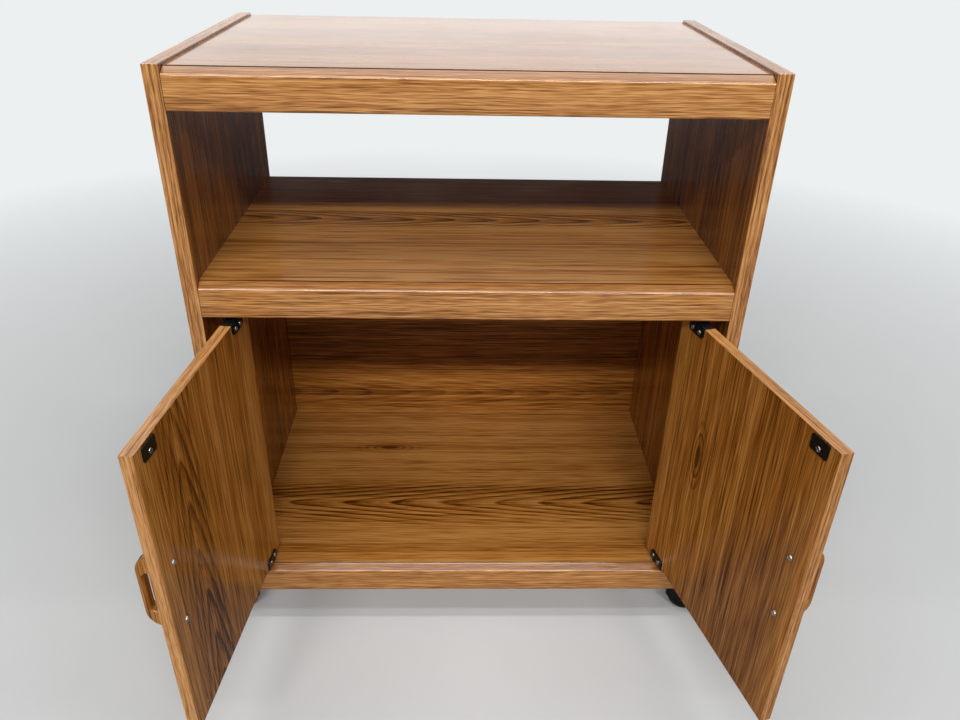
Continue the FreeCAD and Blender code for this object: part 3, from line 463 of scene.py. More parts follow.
@dataclass(frozen=True)
class OakPrint:
    """Lacquered laminate printed as planks of oak, with a paler band on the edges of upright boards.

    The tone is a base, plus each plank's own shade, plus the layers about their middle times their
    weights, less the lines of the figures. A wandering of the grain bends planks and layers alike.
    Pores and bold are ranges of noise, and timid is the share of a figure that shows where it is
    faintest. A share of painted shade darkens what faces up or down.
    """

    edge: Strokes = EDGE_STROKES
    edge_shift: float = 0.5
    rough: float = 0.12
    relief: float = 0.02 * MM
    relief_share: float = 0.35
    gleam: float = 0.5
    coat: float = 0.0
    coat_rough: float = 0.09
    coat_index: float = 1.5
    painted_level_shade: float = 0.0
    core: Colour = (0.045, 0.016, 0.006)
    smear: Cloud = Cloud(9.0, 3.0, 0.6)
    smear_rough: float = 0.10
    pore_rough: float = 0.05
    pore_depth: float = 0.6
    pores: Pair = (0.44, 0.3)
    plank: float = 72.0 * MM
    plank_start: float = 0.37
    plank_draw: float = 7.3
    shade: float = 0.16
    shade_draw: float = 3.7
    sway: float = 12.0 * MM
    waver: float = 2.2 * MM
    bend: float = 0.6
    bold: Pair = (0.3, 0.6)
    timid: float = 0.4
    SWAY, SWAY_RUN = Streaks(4.0, 2.0), (2.6, 9.0)
    WAVER, WAVER_RUN = Streaks(0.0, 1.0), (18.0, 70.0)
    BANDS, BAND_RUN = Streaks(2.0, 2.0, 0.55), (0.8, 30.0)
    BOLD, BOLD_RUN = Streaks(5.0, 1.0), (4.0, 24.0)
    LINES = Streaks(0.0, 3.0, 0.7)
    FLECKS = Streaks(1.0, 1.0)

    def material(self, name: str, sheet: Sheet, centre: Vector,
                 turn: float = 0.0) -> bpy.types.Material:
        """Oak print for one board.

        Args:
            name: name of the material.
            sheet: the printed sheet.
            centre: middle of the board.
            turn: angle of the board about the upright axis, in radians.

        Returns:
            The finished material.
        """
        g = Skin(name)
        along, across = self.axes(g, sheet.grain, g.place(centre, turn))
        colour, tone, pores = self.layers(g, along, across, sheet)
        if sheet.grain is Grain.UPRIGHT:
            band = Sheet(sheet.grain, sheet.seed + self.edge_shift, sheet.edge_lift, strokes=self.edge)
            colour = g.tint(g.edge_share(turn), colour, self.layers(g, along, across, band)[0])
        if sheet.bare_front:
            colour = g.tint(g.front_share(), colour, self.core)
        # painted shade: faces that point up or down are tinted towards the edge print's dark colour
        if self.painted_level_shade:
            shade = g.math("MULTIPLY", g.level_share(), self.painted_level_shade)
            colour = g.tint(shade, colour, self.edge.dark)
        g.set(Base_Color=colour)
        smear = g.math("SUBTRACT", g.noise(g.join(along, across, sheet.seed), self.smear), NOISE_MIDDLE)
        shine = g.math("MULTIPLY_ADD", smear, self.smear_rough, self.rough)
        g.set(Roughness=g.math("MULTIPLY_ADD", pores, self.pore_rough, shine))
        g.set(Specular_IOR_Level=self.gleam, Coat_Weight=self.coat, Coat_Roughness=self.coat_rough,
              Coat_IOR=self.coat_index)
        g.bump(g.math("MULTIPLY_ADD", pores, -self.pore_depth, tone), self.relief_share, self.relief)
        return g.material

    @staticmethod
    def axes(g: Skin, grain: Grain, place: Socket) -> tuple[Socket, Socket]:
        """Places along and across the grain, also round the board's edges.

        Args:
            g: graph of the material.
            grain: which way the grain runs.
            place: place on the board in metres.

        Returns:
            The place along and the place across.
        """
        x, y, z = g.split(place)
        if grain is Grain.ACROSS:
            return x, g.math("ADD", y, z)
        level = g.level_share()
        return g.blend(level, z, x), g.blend(level, g.math("ADD", x, y), y)

    def layers(self, g: Graph, along: Socket, across: Socket,
               sheet: Sheet) -> tuple[Socket, Socket, Socket]:
        """Colour of the print, its tone from 0 dark to 1 pale, and its pores.

        Args:
            g: graph of the material.
            along: place along the grain in metres.
            across: place across the grain in metres.
            sheet: the printed sheet.

        Returns:
            The colour, the tone and the share of open pores.
        """
        seed = sheet.seed
        strokes = sheet.strokes
        sway = self.SWAY.value(g, along, across, self.SWAY_RUN, seed)
        sway = g.math("MULTIPLY", g.math("SUBTRACT", sway, NOISE_MIDDLE), self.sway)
        waver = self.WAVER.value(g, along, across, self.WAVER_RUN, seed)
        sway = g.math("MULTIPLY_ADD", waver, self.waver, sway)
        bent = g.math("MULTIPLY_ADD", sway, self.bend, across)
        start = self.plank_draw * seed + self.plank_start
        row = g.math("FLOOR", g.math("ADD", g.math("DIVIDE", bent, self.plank), start))
        shade = g.lot(g.math("ADD", row, self.shade_draw * seed))
        tone = g.math("MULTIPLY_ADD", shade, self.shade, strokes.base - self.shade / 2 + sheet.lift)
        bands = self.BANDS.value(g, along, bent, self.BAND_RUN, seed)
        lines = self.LINES.value(g, along, bent, strokes.line_run, seed)
        flecks = self.FLECKS.value(g, along, bent, strokes.fleck_run, seed)
        for part, weight in ((bands, strokes.band), (lines, strokes.line), (flecks, strokes.fleck)):
            tone = g.math("MULTIPLY_ADD", g.math("SUBTRACT", part, NOISE_MIDDLE), weight, tone)
        bold = self.BOLD.value(g, along, across, self.BOLD_RUN, seed)
        bold = g.spread(bold, *self.bold, -self.timid * strokes.ring, -strokes.ring)
        for figure in sheet.figures:
            tone = g.math("MULTIPLY_ADD", figure.lines(g, along, across, sway), bold, tone)
        tone = g.math("ADD", tone, 0.0, clamp=True)
        return g.ramp(tone, strokes.stops), tone, g.spread(flecks, *self.pores)


@dataclass(frozen=True)
class BlackSteel:
    """Black-coated steel, rubbed bright where the noise of its patches passes the wear value."""

    coat: Colour = (0.003, 0.0045, 0.0055)
    bare: Colour = (0.50, 0.50, 0.51)
    patches: Cloud = Cloud(160.0, 4.0, 0.65)
    wear: float = 0.67
    wear_edge: float = 0.06
    rub: float = 0.85
    haze: Cloud = Cloud(420.0)
    haze_range: Pair = (0.3, 0.7)
    rough: Pair = (0.22, 0.38)
    gleam: float = 0.22
    skin: Cloud = Cloud(900.0)
    skin_share: float = 0.12
    skin_depth: float = 0.1 * MM

    def material(self, name: str) -> bpy.types.Material:
        """Coated steel with rubbed patches.

        Args:
            name: name of the material.

        Returns:
            The finished material.
        """
        g = Skin(name)
        here = g.here()
        patch = g.spread(g.noise(here, self.patches), self.wear, self.wear + self.wear_edge)
        rubbed = g.math("MULTIPLY", patch, self.rub)
        g.set(Base_Color=g.tint(rubbed, self.coat, self.bare), Metallic=rubbed)
        g.set(Roughness=g.spread(g.noise(here, self.haze), *self.haze_range, *self.rough))
        g.set(Specular_IOR_Level=self.gleam)
        g.bump(g.noise(here, self.skin), self.skin_share, self.skin_depth)
        return g.material


@dataclass(frozen=True)
class PlatedSteel:
    """Zinc-plated steel with a faint haze."""

    colour: Colour = (0.66, 0.65, 0.62)
    rough: float = 0.27
    dull: Colour = (0.45, 0.44, 0.42)
    haze: Cloud = Cloud(300.0, 3.0, 0.6)
    dull_range: Pair = (0.3, 0.75)
    rough_range: Pair = (0.25, 0.8)
    rough_gain: float = 0.2

    def material(self, name: str) -> bpy.types.Material:
        """Plated steel with patches of haze.

        Args:
            name: name of the material.

        Returns:
            The finished material.
        """
        g = Skin(name)
        haze = g.noise(g.here(), self.haze)
        rough = g.spread(haze, *self.rough_range, self.rough, self.rough + self.rough_gain)
        g.set(Base_Color=g.tint(g.spread(haze, *self.dull_range), self.colour, self.dull))
        g.set(Metallic=1.0, Roughness=rough)
        return g.material


@dataclass(frozen=True)
class MouldedPlastic:
    """Moulded plastic with a fine skin and dull scuffs."""

    colour: Colour = (0.005, 0.006, 0.007)
    scuff: Colour = (0.020, 0.020, 0.020)
    rough: float = 0.30
    scuffs: Cloud = Cloud(55.0, 5.0, 0.7)
    scuff_range: Pair = (0.52, 0.72)
    scuff_rough: float = 0.25
    skin: Cloud = Cloud(1400.0, 1.0)
    skin_share: float = 0.1
    skin_depth: float = 0.1 * MM

    def material(self, name: str) -> bpy.types.Material:
        """Plastic whose scuffs are paler and rougher than its skin.

        Args:
            name: name of the material.

        Returns:
            The finished material.
        """
        g = Skin(name)
        here = g.here()
        worn = g.spread(g.noise(here, self.scuffs), *self.scuff_range)
        g.set(Base_Color=g.tint(worn, self.colour, self.scuff))
        g.set(Roughness=g.math("MULTIPLY_ADD", worn, self.scuff_rough, self.rough))
        g.bump(g.noise(here, self.skin), self.skin_share, self.skin_depth)
        return g.material


@dataclass(frozen=True)
class PlainWood:
    """Raw turned beech with short flecks stretched along one axis."""

    colour: Colour = (0.56, 0.38, 0.22)
    fleck: Colour = (0.36, 0.21, 0.10)
    speeds: Point = (120.0, 900.0, 900.0)
    flecks: Cloud = Cloud(1.0, 3.0)
    fleck_range: Pair = (0.5, 0.8)
    rough: float = 0.6

    def material(self, name: str) -> bpy.types.Material:
        """Beech with flecks.

        Args:
            name: name of the material.

        Returns:
            The finished material.
        """
        g = Skin(name)
        parts = [g.math("MULTIPLY", part, speed) for part, speed in zip(g.split(g.here()), self.speeds)]
        flecks = g.spread(g.noise(g.join(*parts), self.flecks), *self.fleck_range)
        g.set(Base_Color=g.tint(flecks, self.colour, self.fleck), Roughness=self.rough)
        return g.material


@dataclass(frozen=True)
class Ferrite:
    """Dark pressed magnet with a sandy skin."""

    colour: Colour = (0.05, 0.048, 0.047)
    pale: Colour = (0.16, 0.155, 0.15)
    grains: Cloud = Cloud(1800.0)
    grain_range: Pair = (0.4, 0.8)
    rough: float = 0.55
    metal: float = 0.4

    def material(self, name: str) -> bpy.types.Material:
        """Ferrite with pale grains.

        Args:
            name: name of the material.

        Returns:
            The finished material.
        """
        g = Skin(name)
        grains = g.spread(g.noise(g.here(), self.grains), *self.grain_range)
        g.set(Base_Color=g.tint(grains, self.colour, self.pale))
        g.set(Roughness=self.rough, Metallic=self.metal)
        return g.material


class Shell:
    """Mesh in the making: grids of points joined into one closed skin."""

    MERGE = 0.001 * MM
    SMOOTH = math.radians(35.0)

    def __init__(self) -> None:
        """Start with no points."""
        self.points: list[np.ndarray] = []
        self.faces: list[list[int]] = []
        self.count = 0

    def grid(self, rows: np.ndarray, wrap: bool = False) -> None:
        """Add a grid of points with a quad between every four neighbours.

        Args:
            rows: array of shape (rows, columns, 3).
            wrap: whether the last column joins the first.
        """
        height, width = rows.shape[:2]
        index = np.arange(height * width).reshape(height, width) + self.count
        below = np.roll(index, -1, axis=0)
        beside = np.roll(index, -1, axis=1)
        corner = np.roll(below, -1, axis=1)
        quads = np.stack([index, beside, corner, below], axis=-1)
        quads = quads[: height - 1, : width if wrap else width - 1]
        self.faces += quads.reshape(-1, 4).tolist()
        self.points.append(rows.reshape(-1, 3))
        self.count += height * width

    def cap(self, ring: np.ndarray) -> None:
        """Add one flat face.

        Args:
            ring: points round the face.
        """
        self.faces.append(list(range(self.count, self.count + len(ring))))
        self.points.append(ring)
        self.count += len(ring)

    def mesh(self, name: str) -> bpy.types.Mesh:
        """Put the points and faces into a new mesh.

        Args:
            name: name of the mesh.

        Returns:
            The mesh.
        """
        mesh = bpy.data.meshes.new(name)
        mesh.from_pydata(np.concatenate(self.points).tolist(), [], self.faces)
        return mesh

    def piece(self, name: str, body: str, material: bpy.types.Material) -> bpy.types.Object:
        """Finish the mesh as a piece that rides on a body.

        Args:
            name: name of the piece.
            body: body that it moves with.
            material: its finish.

        Returns:
            The finished object.
        """
        mesh = self.mesh(name)
        work = bmesh.new()
        work.from_mesh(mesh)
        bmesh.ops.remove_doubles(work, verts=work.verts, dist=self.MERGE)
        bmesh.ops.recalc_face_normals(work, faces=work.faces)
        work.to_mesh(mesh)
        work.free()
        mesh.polygons.foreach_set("use_smooth", np.ones(len(mesh.polygons), dtype=bool))
        mesh.set_sharp_from_angle(angle=self.SMOOTH)
        mesh.materials.append(material)
        item = bpy.data.objects.new(name, mesh)
        bpy.context.scene.collection.objects.link(item)
        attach(item, body)
        LOG.info("%s: %d faces on %s", name, len(mesh.polygons), body)
        return item


def rounded_outline(corners: list[tuple[float, float, float]], steps: int) -> np.ndarray:
    """Closed outline whose corners are arcs.

    Each corner is cut back along both of its sides by its radius over the tangent of half its
    angle, and an arc about the centre on its bisector joins the two cuts.

    Args:
        corners: places across and up, with the radius of the arc there.
        steps: points on each arc, less one.

    Returns:
        Array of points, two numbers each.
    """
    spots = np.array([corner[:2] for corner in corners])
    runs = []
    for index, (x, y, radius) in enumerate(corners):
        spot = np.array((x, y))
        back = spots[index - 1] - spot
        ahead = spots[(index + 1) % len(spots)] - spot
        back = back / np.linalg.norm(back)
        ahead = ahead / np.linalg.norm(ahead)
        half = math.acos(float(np.clip(back @ ahead, -1.0, 1.0))) / 2
        middle = back + ahead
        centre = spot + middle / np.linalg.norm(middle) * radius / math.sin(half)
        first = spot + back * radius / math.tan(half) - centre
        last = spot + ahead * radius / math.tan(half) - centre
        start = math.atan2(first[1], first[0])
        sweep = (math.atan2(last[1], last[0]) - start + math.pi) % (2 * math.pi) - math.pi
        angles = start + np.linspace(0.0, sweep, steps + 1)
        runs.append(centre + radius * np.stack([np.cos(angles), np.sin(angles)], axis=1))
    return np.concatenate(runs)


def joint(name: str) -> dict:
    """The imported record's joint of that name."""
    return next(item for item in frame["joints"] if item["name"] == name)


def dress(node: str, material: bpy.types.Material) -> None:
    """Give a carried-over solid its finish.

    Args:
        node: the solid.
        material: its finish.
    """
    slots = frame["nodes"][node].data.materials
    slots.clear()
    slots.append(material)
    LOG.info("%s: dressed in %s", node, material.name)


def middle_of(node: str) -> Vector:
    """Middle of a solid's box at rest."""
    low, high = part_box(node)
    return (low + high) / 2


@dataclass(frozen=True)
class Edges:
    """Welds the loose triangles of a solid and eases its sharp edges."""

    width: float = 0.35 * MM
    steps: int = 2
    crease: float = math.radians(30.0)
    weld: float = 0.01 * MM

    def ease(self, node: str) -> None:
        """Add the easing to one carried-over solid.

        Args:
            node: the solid.
        """
        item = frame["nodes"][node]
        weld = item.modifiers.new("weld", "WELD")
        weld.merge_threshold = self.weld
        bevel = item.modifiers.new("ease", "BEVEL")
        bevel.width = self.width
        bevel.segments = self.steps
        bevel.limit_method = "ANGLE"
        bevel.angle_limit = self.crease
        bevel.use_clamp_overlap = False


@dataclass
class Carcass:
    """Side boards, shelves, back and the moulded nosings on their front edges."""

    oak: OakPrint = OakPrint()
    # the nosings' foil carries painted shade on its faces that point up or down
    strip_oak: OakPrint = OakPrint(rough=0.35, relief=0.01 * MM, gleam=0.1, coat=1.0, coat_rough=0.16,
                                   coat_index=1.6, painted_level_shade=0.4)
    side_oak: OakPrint = OakPrint(rough=0.21)
    back_oak: OakPrint = OakPrint(rough=0.5, gleam=0.2)
    edges: Edges = Edges()
    nosing_drop: float = 5.9 * MM
    nosing_round: float = 3.5 * MM
    nosing_ease: float = 2.0 * MM
    heel_ease: float = 0.5 * MM
    arc_steps: int = 10

    BOARDS = {
        # the side boards' lifts below zero are painted shade: they darken the whole board, outer faces
        # too, to stand for the shade inside the bay
        "side_left": Sheet(
            Grain.UPRIGHT, seed=0.13, lift=-0.17,
            figures=(Arches(across=0.05, taper=0.085, ring=8.0 * MM, depth=12.0 * MM, span=50.0 * MM,
                            weight=0.8),
                     Arches(across=-0.09, taper=-0.07, weight=0.5))),
        "side_right": Sheet(
            Grain.UPRIGHT, seed=0.71, lift=-0.13, edge_lift=-0.22,
            figures=(Arches(across=-0.06, taper=0.085, ring=8.0 * MM, depth=12.0 * MM, span=50.0 * MM,
                            weight=0.8),
                     Knot(across=0.09, along=0.1))),
        "top_panel": Sheet(
            Grain.ACROSS, seed=0.29, bare_front=True, strokes=FAINT_STROKES,
            figures=(Arches(across=0.04, taper=0.13), Arches(across=-0.08, taper=-0.14))),
        "middle_shelf": Sheet(
            Grain.ACROSS, seed=0.47, lift=0.30, bare_front=True, strokes=SHELF_STROKES,
            figures=(Arches(across=0.0165, taper=0.14, ring=8.0 * MM, depth=9.0 * MM, span=34.0 * MM,
                            weight=1.5),)),
        "bottom_shelf": Sheet(
            Grain.ACROSS, seed=0.83, lift=0.22, bare_front=True,
            figures=(Arches(across=-0.054, taper=-0.11, ring=8.0 * MM, depth=9.0 * MM, span=56.0 * MM,
                            weight=1.7),
                     Knot(across=0.081, along=-0.12, ring=4.0 * MM, span=17.0 * MM, weight=1.4))),
        "back_panel": Sheet(
            Grain.ACROSS, seed=0.58, lift=-0.08,
            figures=(Arches(across=-0.15, taper=0.12, weight=0.5),
                     Arches(across=0.12, taper=-0.1, weight=0.5))),
        "header_rail": Sheet(Grain.ACROSS, seed=0.91),
    }
    NOSING_SEEDS = {"top_nosing": 0.37, "middle_nosing": 0.64, "bottom_nosing": 0.19}

    def build(self) -> None:
        """Dress the boards and rebuild the nosings."""
        prints = {"side_left": self.side_oak, "side_right": self.side_oak, "back_panel": self.back_oak}
        for node, sheet in self.BOARDS.items():
            turn = QUARTER_TURN if sheet.grain is Grain.UPRIGHT else 0.0
            oak = prints.get(node, self.oak)
            dress(node, oak.material(f"oak_{node}", sheet, middle_of(node), turn))
            self.edges.ease(node)
        for node, seed in self.NOSING_SEEDS.items():
            self.nosing(node, seed)

    def nosing(self, node: str, seed: float) -> None:
        """Moulded strip: a rounded profile carried along the cart's width.

        Args:
            node: solid that the strip stands for.
            seed: draw of its grain.
        """
        low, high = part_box(node)
        profile = rounded_outline([
            (high.y, low.z, self.heel_ease),
            (high.y, high.z, self.heel_ease),
            (low.y, high.z - self.nosing_drop, self.nosing_round),
            (low.y, low.z, self.nosing_ease),
        ], self.arc_steps)
        ends = np.array([low.x, high.x])
        grid = np.empty((len(ends), len(profile), 3))
        grid[..., 0] = ends[:, None]
        grid[..., 1:] = profile[None, :, :]
        shell = Shell()
        shell.grid(grid, wrap=True)
        for ring in grid:
            shell.cap(ring)
        sheet = Sheet(Grain.ACROSS, seed, strokes=STRIP_STROKES)
        foil = self.strip_oak.material(f"oak_{node}", sheet, middle_of(node))
        strip = shell.piece(f"{node}_strip", "cabinet", foil)
        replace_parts(strip, node)


@dataclass(frozen=True)
class CrossScrew:
    """Round-headed screw with a cross recess, in one skin turned about its axis.

    The head's height falls from its middle to its rim as a rounded power curve. The recess sinks it
    by its depth times one minus the squared share of the arm's length, and its walls slope in
    from the arm's half width. The columns of the grid follow the arms' edges. Sizes of the recess
    are shares of the head's radius and height.
    """

    head: float = 3.0 * MM
    height: float = 1.6 * MM
    shank: float = 1.5 * MM
    power: float = 2.6
    arm: float = 0.62
    half_width: float = 0.17
    floor_width: float = 0.10
    depth: float = 0.62
    rings: int = 14
    between: int = 4
    twist: float = 0.4
    next_twist: float = 1.3
    single_span: float = 3.0

    ARMS = 4
    DIAGONAL = math.sqrt(0.5)
    NEAR_ZERO = 1e-9

    def angles(self, radius: np.ndarray) -> np.ndarray:
        """Angles of the columns on each ring: walls and floor of the four arms, then the gaps.

        Args:
            radius: radii of the rings.

        Returns:
            Array of rings by columns.
        """
        shares = self.head / np.maximum(radius, self.NEAR_ZERO)
        wall = np.arcsin(np.minimum(self.half_width * shares, self.DIAGONAL))
        widest = self.DIAGONAL * self.floor_width / self.half_width
        floor = np.arcsin(np.minimum(self.floor_width * shares, widest))
        arm = np.stack([-wall, -floor, 0.0 * wall, floor, wall], axis=1)
        steps = np.arange(1, self.between + 1) / (self.between + 1)
        gap = wall[:, None] + steps * (QUARTER_TURN - 2 * wall)[:, None]
        quarter = np.concatenate([arm, gap], axis=1)
        turns = np.arange(self.ARMS) * QUARTER_TURN
        return (turns[None, :, None] + quarter[:, None, :]).reshape(len(radius), -1)

    def skin(self, length: float, twist: float) -> np.ndarray:
        """Grid of the screw about its seat: two places across the axis and the height along it.

        Args:
            length: how far the shank and its point reach below the seat.
            twist: angle of the recess in radians.

        Returns:
            Array of rings by columns by 3.
        """
        top = self.head * np.sin(np.linspace(0.0, QUARTER_TURN, self.rings))
        radius = np.concatenate([top, [self.head, self.shank, self.shank, 0.0]])
        painted_level_shade = self.height * np.maximum(1.0 - (top / self.head) ** self.power, 0.0) ** (1 / self.power)
        rise = np.concatenate([painted_level_shade, [0.0, 0.0, self.shank * 2 - length, -length]])
        angle = self.angles(radius)
        across = radius[:, None] * np.cos(angle)
        up = radius[:, None] * np.sin(angle)
        side = np.minimum(abs(across), abs(up)) / self.head
        reach = np.maximum(abs(across), abs(up)) / (self.arm * self.head)
        slope = np.clip((self.half_width - side) / (self.half_width - self.floor_width), 0.0, 1.0)
        sink = self.depth * self.height * np.clip(1.0 - reach ** 2, 0.0, 1.0) * slope
        sink[self.rings:] = 0.0
        cos, sin = math.cos(twist), math.sin(twist)
        return np.stack([cos * across - sin * up, sin * across + cos * up, rise[:, None] - sink], axis=-1)

    def places(self, low: float, high: float) -> list[float]:
        """Seats along a span: one in the middle of a span of one head, or else one at each end.

        Args:
            low: start of the span in metres.
            high: end of the span in metres.

        Returns:
            The seats' places.
        """
        if high - low < self.single_span * self.head:
            return [(low + high) / 2]
        return [low + self.head, high - self.head]

    def build(self, node: str, body: str, turn: float, slot: str,
              material: bpy.types.Material) -> None:
        """Put a screw at every seat of a solid that holds a rectangle of screws on a door.

        Args:
            node: solid that the screws stand for.
            body: body that they move with.
            turn: angle of the door in radians.
            slot: material slot of the record; not used.
            material: their finish.
        """
        mesh = frame["nodes"][node].data
        points = np.empty(len(mesh.vertices) * 3)
        mesh.vertices.foreach_get("co", points)
        axes = np.array(Matrix.Rotation(turn, 3, "Z"))
        local = points.reshape(-1, 3) @ axes
        low, high = local.min(axis=0), local.max(axis=0)
        seat = high[1] - self.height
        rows = self.places(low[2], high[2])
        seats = [(x, z) for x in self.places(low[0], high[0]) for z in rows]
        shell = Shell()
        for index, (x, z) in enumerate(seats):
            skin = self.skin(seat - low[1], self.twist + self.next_twist * index)
            spots = np.stack([x + skin[..., 0], seat + skin[..., 2], z + skin[..., 1]], axis=-1)
            shell.grid(spots @ axes.T, wrap=True)
        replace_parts(shell.piece(f"{node}_cross", body, material), node)


@dataclass
class Door:
    """One door with its pull, strike plate, hinge leaves and screws."""

    hand: Hand
    oak: OakPrint = OakPrint(rough=0.17)
    pull_oak: OakPrint = OakPrint(edge=FACE_STROKES)
    pull_shift: float = 0.4
    black: BlackSteel = BlackSteel()
    dark: PlatedSteel = PlatedSteel((0.22, 0.22, 0.225), 0.2)
    bright: PlatedSteel = PlatedSteel()
    edges: Edges = Edges()
    small_screw: CrossScrew = CrossScrew()
    pull_screw: CrossScrew = CrossScrew(head=3.5 * MM, height=1.8 * MM, shank=2.0 * MM)

    SHEETS = {
        Hand.LEFT: Sheet(
            Grain.UPRIGHT, seed=0.27,
            figures=(Arches(across=0.075, taper=0.19, ring=11.0 * MM, depth=8.0 * MM, span=50.0 * MM,
                            weight=1.3),)),
        Hand.RIGHT: Sheet(
            Grain.UPRIGHT, seed=0.52, lift=-0.05,
            figures=(Knot(across=0.068, along=0.03, ring=5.0 * MM, span=20.0 * MM, weight=1.2),)),
    }

    @property
    def turn(self) -> float:
        """Angle at which the door stands, in radians: the opposite of what closes it."""
        low, high = joint(f"door_{self.hand.value}_swing")["range_deg"]
        return -math.radians(high if self.hand is Hand.LEFT else low)

    def build(self) -> None:
        """Dress the door's solids and rebuild its screws."""
        word = self.hand.value
        panel = f"door_panel_{word}"
        sheet = self.SHEETS[self.hand]
        dress(panel, self.oak.material(f"oak_{panel}", sheet, middle_of(panel), self.turn))
        self.edges.ease(panel)
        pull = f"door_pull_{word}"
        sheet = Sheet(Grain.UPRIGHT, sheet.seed + self.pull_shift)
        dress(pull, self.pull_oak.material(f"oak_{pull}", sheet, middle_of(pull), self.turn))
        coat = self.black.material(f"black_steel_door_{word}")
        for node in ("door_leaf_upper", "door_leaf_lower", "strike_plate"):
            dress(f"{node}_{word}", coat)
        body = f"door_{word}"
        dark = self.dark.material(f"dark_screws_{word}")
        for node in ("hinge_screws", "strike_screw"):
            self.small_screw.build(f"{node}_{word}", body, self.turn, "black_steel", dark)
        bright = self.bright.material(f"plated_pull_screws_{word}")
        self.pull_screw.build(f"pull_screws_{word}", body, self.turn, "bright_steel", bright)


@dataclass
class Fittings:
    """Hinge leaves, pins, catches, dowels, cams and nails of the cabinet."""

    black: BlackSteel = BlackSteel()
    plated: PlatedSteel = PlatedSteel()
    plastic: MouldedPlastic = MouldedPlastic()
    brown: MouldedPlastic = MouldedPlastic((0.09, 0.045, 0.02), (0.14, 0.08, 0.045), 0.42)
    beech: PlainWood = PlainWood()
    ferrite: Ferrite = Ferrite()

    LEAVES = ("cabinet_leaf_upper_left", "cabinet_leaf_upper_right", "cabinet_leaf_lower_left",
              "cabinet_leaf_lower_right", "cabinet_leaf_screws")
    STEEL = ("hinge_pins", "cam_bolts", "cam_locks", "caster_sockets", "back_nails", "catch_screws")

    def build(self) -> None:
        """Dress every fitting."""
        finishes = (
            (self.black.material("black_steel_cabinet"), self.LEAVES),
            (self.plated.material("plated_fittings"), self.STEEL),
            (self.plastic.material("black_washer"), ("hinge_washers",)),
            (self.beech.material("beech_dowels"), ("shelf_dowels", "nosing_dowels")),
            (self.brown.material("brown_catch_case"), ("catch_case_left", "catch_case_right")),
            (self.ferrite.material("ferrite_magnet"), ("catch_magnet_left", "catch_magnet_right")),
        )
        for material, nodes in finishes:
            for node in nodes:
                dress(node, material)


@dataclass
class Caster:
    """One hooded twin-wheel caster: hood, wheels, stem and axle."""

    corner: str
    plastic: MouldedPlastic = MouldedPlastic()
    plated: PlatedSteel = PlatedSteel()
    black: BlackSteel = BlackSteel()

    def build(self) -> None:
        """Dress the caster's solids."""
        skin = self.plastic.material(f"black_caster_{self.corner}")
        dress(f"caster_hood_{self.corner}", skin)
        dress(f"caster_wheels_{self.corner}", skin)
        dress(f"caster_stem_{self.corner}", self.plated.material(f"plated_caster_{self.corner}"))
        dress(f"caster_axle_{self.corner}", self.black.material(f"black_axle_{self.corner}"))


@dataclass(frozen=True)
class Lamp:
    """Long area lamp: where it hangs, its width and height in metres and its power in watts."""

    name: str
    spot: Point
    size: Pair
    power: float

    def hang(self, target: Point) -> None:
        """Put the lamp up.

        Args:
            target: point that it is aimed at.
        """
        data = bpy.data.lights.new(self.name, "AREA")
        data.shape = "RECTANGLE"
        data.size, data.size_y = self.size
        data.energy = self.power
        item = bpy.data.objects.new(self.name, data)
        item.visible_camera = False
        item.location = self.spot
        aim = Vector(target) - Vector(self.spot)
        item.rotation_euler = aim.to_track_quat("-Z", "Y").to_euler()
        bpy.context.scene.collection.objects.link(item)


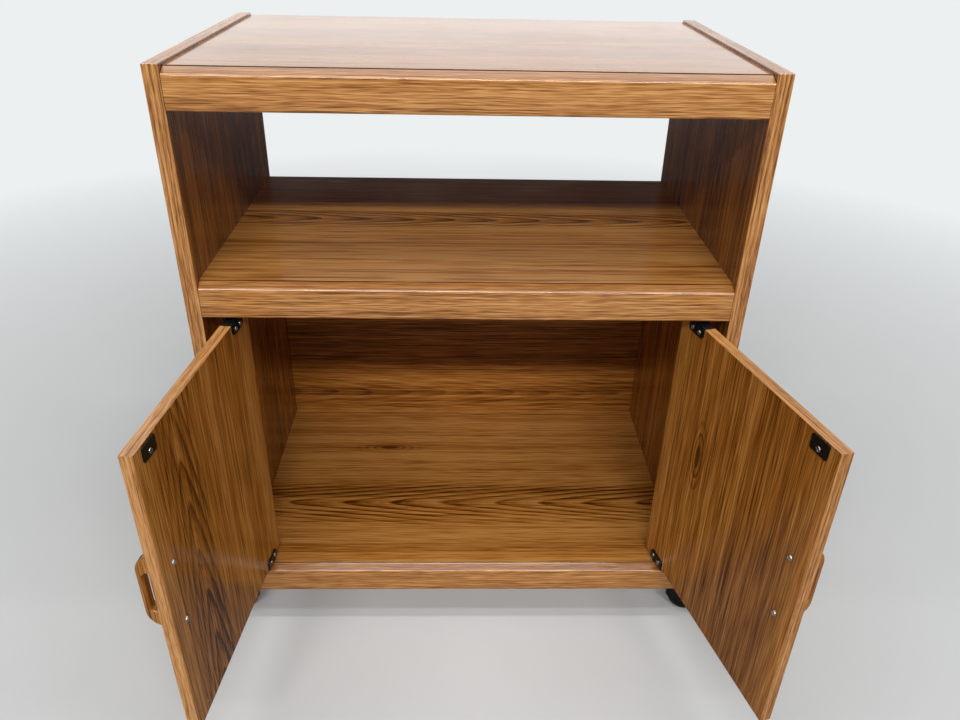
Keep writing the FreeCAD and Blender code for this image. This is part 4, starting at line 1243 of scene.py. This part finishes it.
@dataclass
class Studio:
    """Pale floor, soft light and the camera at the photograph's angle.

    Gloss sees a surround whose brightness follows the rise of the ray, in GLOSS_STOPS, and whose
    strength follows the ray's run to the back: BEHIND holds two runs and the strengths there.
    """

    eye: Point = (-10.4 * MM, -961.9 * MM, 867.0 * MM)
    turn: Point = (59.7606, -1.0858, -1.1683)
    lens: float = 29.77
    sensor: float = 36.0
    near_clip: float = 10.0 * MM
    target: Point = (0.0, 0.0, 0.4)
    floor_size: float = 14.0
    floor_lines: int = 9
    floor_colour: Colour = (0.68, 0.69, 0.69)
    floor_dim: float = 0.93
    floor_rough: float = 0.7
    mottle: Cloud = Cloud(6.0, 4.0, 0.6)
    sky: Colour = (0.84, 0.87, 0.875)
    white: Colour = (1.0, 1.0, 1.0)
    shade: Colour = (0.05, 0.05, 0.05)
    ambient: float = 0.025
    fade_range: Pair = (0.55, 2.2)
    shade_range: Pair = (-0.6, 0.25)
    shade_share: Pair = (0.7, 1.0)

    BEHIND = (0.0, 0.5, 0.5, 2.4)
    GLOSS_STOPS = ((0.0, 0.58), (0.17, 0.58), (0.24, 0.015), (0.39, 0.015), (0.43, 0.25), (0.47, 0.03),
                   (0.52, 0.015), (0.58, 1.0))
    LAMPS = (
        Lamp("low_row", (0.0, -3.92, 3.36), (4.4, 0.3), 200.0),
        Lamp("high_row", (0.0, -1.1, 3.0), (3.6, 0.25), 19.0),
        Lamp("near_row", (0.0, -0.35, 2.9), (3.6, 0.2), 24.0),
        Lamp("back_fill", (0.0, 3.6, 0.2), (0.3, 0.3), 14.0),
    )

    def build(self) -> None:
        """Set up floor, world, lamps and camera."""
        self.floor()
        self.world()
        for lamp in self.LAMPS:
            lamp.hang(self.target)
        self.camera()
        bpy.context.scene.view_settings.view_transform = "Standard"

    def floor(self) -> None:
        """Flat pale floor under the casters: a square grid at height 0."""
        half = self.floor_size / 2
        ends = np.linspace(-half, half, self.floor_lines)
        grid = np.zeros((len(ends), len(ends), 3))
        grid[..., 0], grid[..., 1] = np.meshgrid(ends, ends)
        shell = Shell()
        shell.grid(grid)
        mesh = shell.mesh("floor")
        item = bpy.data.objects.new("floor", mesh)
        bpy.context.scene.collection.objects.link(item)
        g = Skin("pale_floor")
        dim = tuple(channel * self.floor_dim for channel in self.floor_colour)
        g.set(Base_Color=g.tint(g.noise(g.here(), self.mottle), dim, self.floor_colour))
        g.set(Roughness=self.floor_rough)
        self.fade(g)
        mesh.materials.append(g.material)

    def fade(self, g: Skin) -> None:
        """Pass into the pale surround away from the cart, and show dark to gloss behind it.

        Args:
            g: graph of the floor's material.
        """
        x, y, _ = g.split(g.here())
        away = g.math("SQRT", g.math("ADD", g.math("MULTIPLY", x, x), g.math("MULTIPLY", y, y)))
        far = g.spread(away, *self.fade_range)
        back = g.spread(y, *self.shade_range, *self.shade_share)
        rays = g.node("LightPath").outputs
        seen = g.math("MULTIPLY", far, rays["Is Camera Ray"])
        gloss = g.math("MULTIPLY", back, rays["Is Glossy Ray"])
        pale = g.out("MixShader", seen, g.shader.outputs["BSDF"], g.out("Emission", self.sky))
        both = g.out("MixShader", gloss, pale, g.out("Emission", self.shade))
        g.feed(g.output.inputs["Surface"], both)

    def world(self) -> None:
        """Pale surround for the camera, low light for matt faces and a bright horizon for gloss."""
        world = bpy.data.worlds.new("surround")
        bpy.context.scene.world = world
        g = Graph(world)
        _, back, rise = g.split(g.node("TexCoord").outputs["Generated"])
        greys = tuple((place, (level, level, level)) for place, level in self.GLOSS_STOPS)
        dim = g.out("Background", self.white, self.ambient)
        gloss = g.out("Background", g.ramp(rise, greys), g.spread(back, *self.BEHIND))
        rays = g.node("LightPath").outputs
        both = g.out("MixShader", rays["Is Glossy Ray"], dim, gloss)
        both = g.out("MixShader", rays["Is Camera Ray"], both, g.out("Background", self.sky))
        g.node("OutputWorld", both)

    def camera(self) -> None:
        """Camera where the photograph was taken from."""
        data = bpy.data.cameras.new("camera")
        data.lens = self.lens
        data.sensor_width = self.sensor
        data.clip_start = self.near_clip
        item = bpy.data.objects.new("camera", data)
        item.location = self.eye
        item.rotation_euler = [math.radians(angle) for angle in self.turn]
        bpy.context.scene.collection.objects.link(item)
        bpy.context.scene.camera = item


def main() -> None:
    """Build every sub-assembly in order, then the studio."""
    logging.basicConfig(level=logging.INFO, format="%(name)s %(message)s")
    corners = ("front_left", "front_right", "rear_left", "rear_right")
    casters = [Caster(corner) for corner in corners]
    for assembly in (Carcass(), Door(Hand.LEFT), Door(Hand.RIGHT), Fittings(), *casters, Studio()):
        LOG.info("building %s", type(assembly).__name__)
        assembly.build()


if __name__ == "__main__":
    main()
